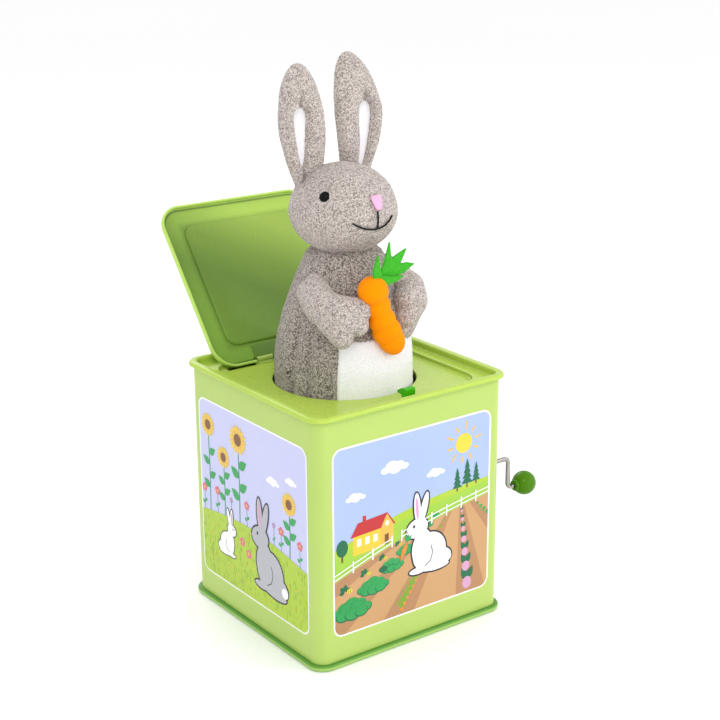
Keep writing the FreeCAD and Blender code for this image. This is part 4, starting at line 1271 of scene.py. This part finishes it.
def cabbage(picture, x, y, size, dice):
    """A head of leafy greens: round leaves with dark edges, the nearer ones lower."""
    rows_of_leaves = (((-0.55, 0.62, 0.40), (0.0, 0.78, 0.44), (0.55, 0.62, 0.40)),
                      ((-0.95, 0.30, 0.42), (-0.30, 0.42, 0.50), (0.38, 0.42, 0.48), (0.98, 0.30, 0.40)),
                      ((-0.60, 0.10, 0.44), (0.05, 0.08, 0.50), (0.66, 0.10, 0.42)))
    for row_of_leaves in rows_of_leaves:
        for dx, dy, r in row_of_leaves:
            wide, high = r * size * (1 + 0.1 * dice.random()), r * size * 0.72
            at_x, at_y = x + dx * size, y + dy * size
            picture.disc(at_x, at_y, wide * 1.12, high * 1.14, "leaf_dark", 6, sides=16)
            picture.disc(at_x, at_y + 0.04 * size, wide, high, "leaf", 6, sides=16)


def squash_plant(picture, x, y, size):
    for turn in (15, 80, 140, 200):
        picture.leaf(x, y, size * 0.62, turn, "leaf_dark", 6, 0.36)
    picture.disc(x + size * 0.5, y - size * 0.1, size * 0.30, size * 0.24, "yellow", 7, sides=16)
    for shift in (-0.12, 0.08):
        at_x = x + size * (0.5 + shift)
        picture.line([(at_x, y - size * 0.28), (at_x, y + size * 0.06)], size * 0.05, "leaf", 8)


def garden_picture(name, turn_deg, seed, flip):
    """Tall sunflowers and small blossoms behind a grassy bank, with two rabbits."""
    picture = Picture()
    turn = (lambda x: 1 - x) if flip else (lambda x: x)
    picture.shape(FULL, "lilac", 1)
    bank = hill_line(0.36, 0.055) if flip else hill_line(0.36, 0.055, -0.02)
    for x, y, size in ((0.70, 0.73, 0.045), (0.86, 0.78, 0.038)):
        picture.cloud(turn(x), y, size)
    for x, top, size in ((0.09, 0.86, 0.062), (0.235, 0.72, 0.058), (0.38, 0.86, 0.076),
                         (0.84, 0.66, 0.060)):
        picture.sunflower(turn(x), bank(x) - 0.02, top, size)
    for x, top, colour in ((0.035, 0.49, "pink"), (0.165, 0.51, "pink"), (0.30, 0.50, "violet"),
                           (0.45, 0.52, "pink"), (0.70, 0.50, "violet"), (0.765, 0.49, "pink"),
                           (0.93, 0.47, "pink")):
        picture.blossom(turn(x), bank(x) - 0.02, top, 0.026 if colour == "pink" else 0.016, colour)
    picture.shape(under(bank), "grass", 5)
    picture.tufts(bank, 330, seed)
    picture.rabbit(turn(0.25), 0.17, 0.22, "white", -1 if flip else 1)
    picture.rabbit(turn(0.66), 0.10, 0.40, "grey", 1 if flip else -1)
    for x, y in ((0.40, 0.30), (0.46, 0.25)):
        picture.blossom(turn(x), y - 0.06, y, 0.028, "pink")
    picture.build(name, turn_deg)


farm_picture("print_front", 0, 3, True)
garden_picture("print_left", -90, 5, False)
garden_picture("print_right", 90, 8, True)
farm_picture("print_back", 180, 11, False)


# ---------------------------------------------------------------- stage

CAMERA_PLACE = (-0.5138, -0.7132, 0.4437)
CAMERA_TURN_DEG = (36.391, -17.958, -0.30)  # yaw, pitch and roll
CAMERA_LENS_MM, CAMERA_SENSOR_MM = 76.4, 36.0
LIGHTS_AIM = Vector((0, 0, 0.15))
LIGHTS = (  # name, place, width and power
    ("key", (-0.9, -1.3, 1.5), 0.9, 9),
    ("fill", (1.3, -0.9, 0.9), 1.0, 3),
    ("spark", (0.80, -0.90, 1.05), 0.07, 2.0),
    ("front", (0.5, -1.5, 0.5), 0.8, 2.5),
    ("back", (0.3, 1.4, 1.2), 1.0, 6),
)
FLOOR_HALF = 40.0
FLOOR_Z = -0.0002


def add_camera():
    data = bpy.data.cameras.new("camera")
    data.lens = CAMERA_LENS_MM
    data.sensor_width = CAMERA_SENSOR_MM
    data.clip_start = 0.01
    camera = bpy.data.objects.new("camera", data)
    bpy.context.scene.collection.objects.link(camera)
    yaw, pitch, roll = (math.radians(turn) for turn in CAMERA_TURN_DEG)
    camera.location = CAMERA_PLACE
    turn = Matrix.Rotation(-yaw, 4, "Z") @ Matrix.Rotation(math.pi / 2 + pitch, 4, "X")
    camera.rotation_euler = (turn @ Matrix.Rotation(roll, 4, "Z")).to_euler()
    bpy.context.scene.camera = camera


def add_area_light(name, place_at, size, power):
    data = bpy.data.lights.new(name, "AREA")
    data.shape = "SQUARE"
    data.size = size
    data.energy = power
    light = bpy.data.objects.new(name, data)
    light.location = place_at
    light.rotation_euler = (LIGHTS_AIM - Vector(place_at)).to_track_quat("-Z", "Y").to_euler()
    bpy.context.scene.collection.objects.link(light)


def add_stage():
    bm = bmesh.new()
    corners = [(-1, -1), (1, -1), (1, 1), (-1, 1)]
    bm.faces.new([bm.verts.new((x * FLOOR_HALF, y * FLOOR_HALF, FLOOR_Z)) for x, y in corners])
    material, tree, shader = new_material("floor", 0.75, base=(0.92, 0.92, 0.92))
    tone = noise_node(tree, 0.6, 1.0)
    tree.links.new(ramp(tree, tone, [(0.2, (0.97, 0.97, 0.97)), (0.8, (0.985, 0.985, 0.985))]),
                   shader.inputs["Base Color"])
    floor = add_object("floor", mesh_from("floor", bm, False), [material])
    world = bpy.data.worlds.new("studio")
    world.use_nodes = True
    background = world.node_tree.nodes["Background"]
    background.inputs["Color"].default_value = (1, 1, 1, 1)
    background.inputs["Strength"].default_value = 1.0
    bpy.context.scene.world = world
    for light in LIGHTS:
        add_area_light(*light)
    bpy.context.scene.view_settings.view_transform = "Standard"


add_camera()
add_stage()
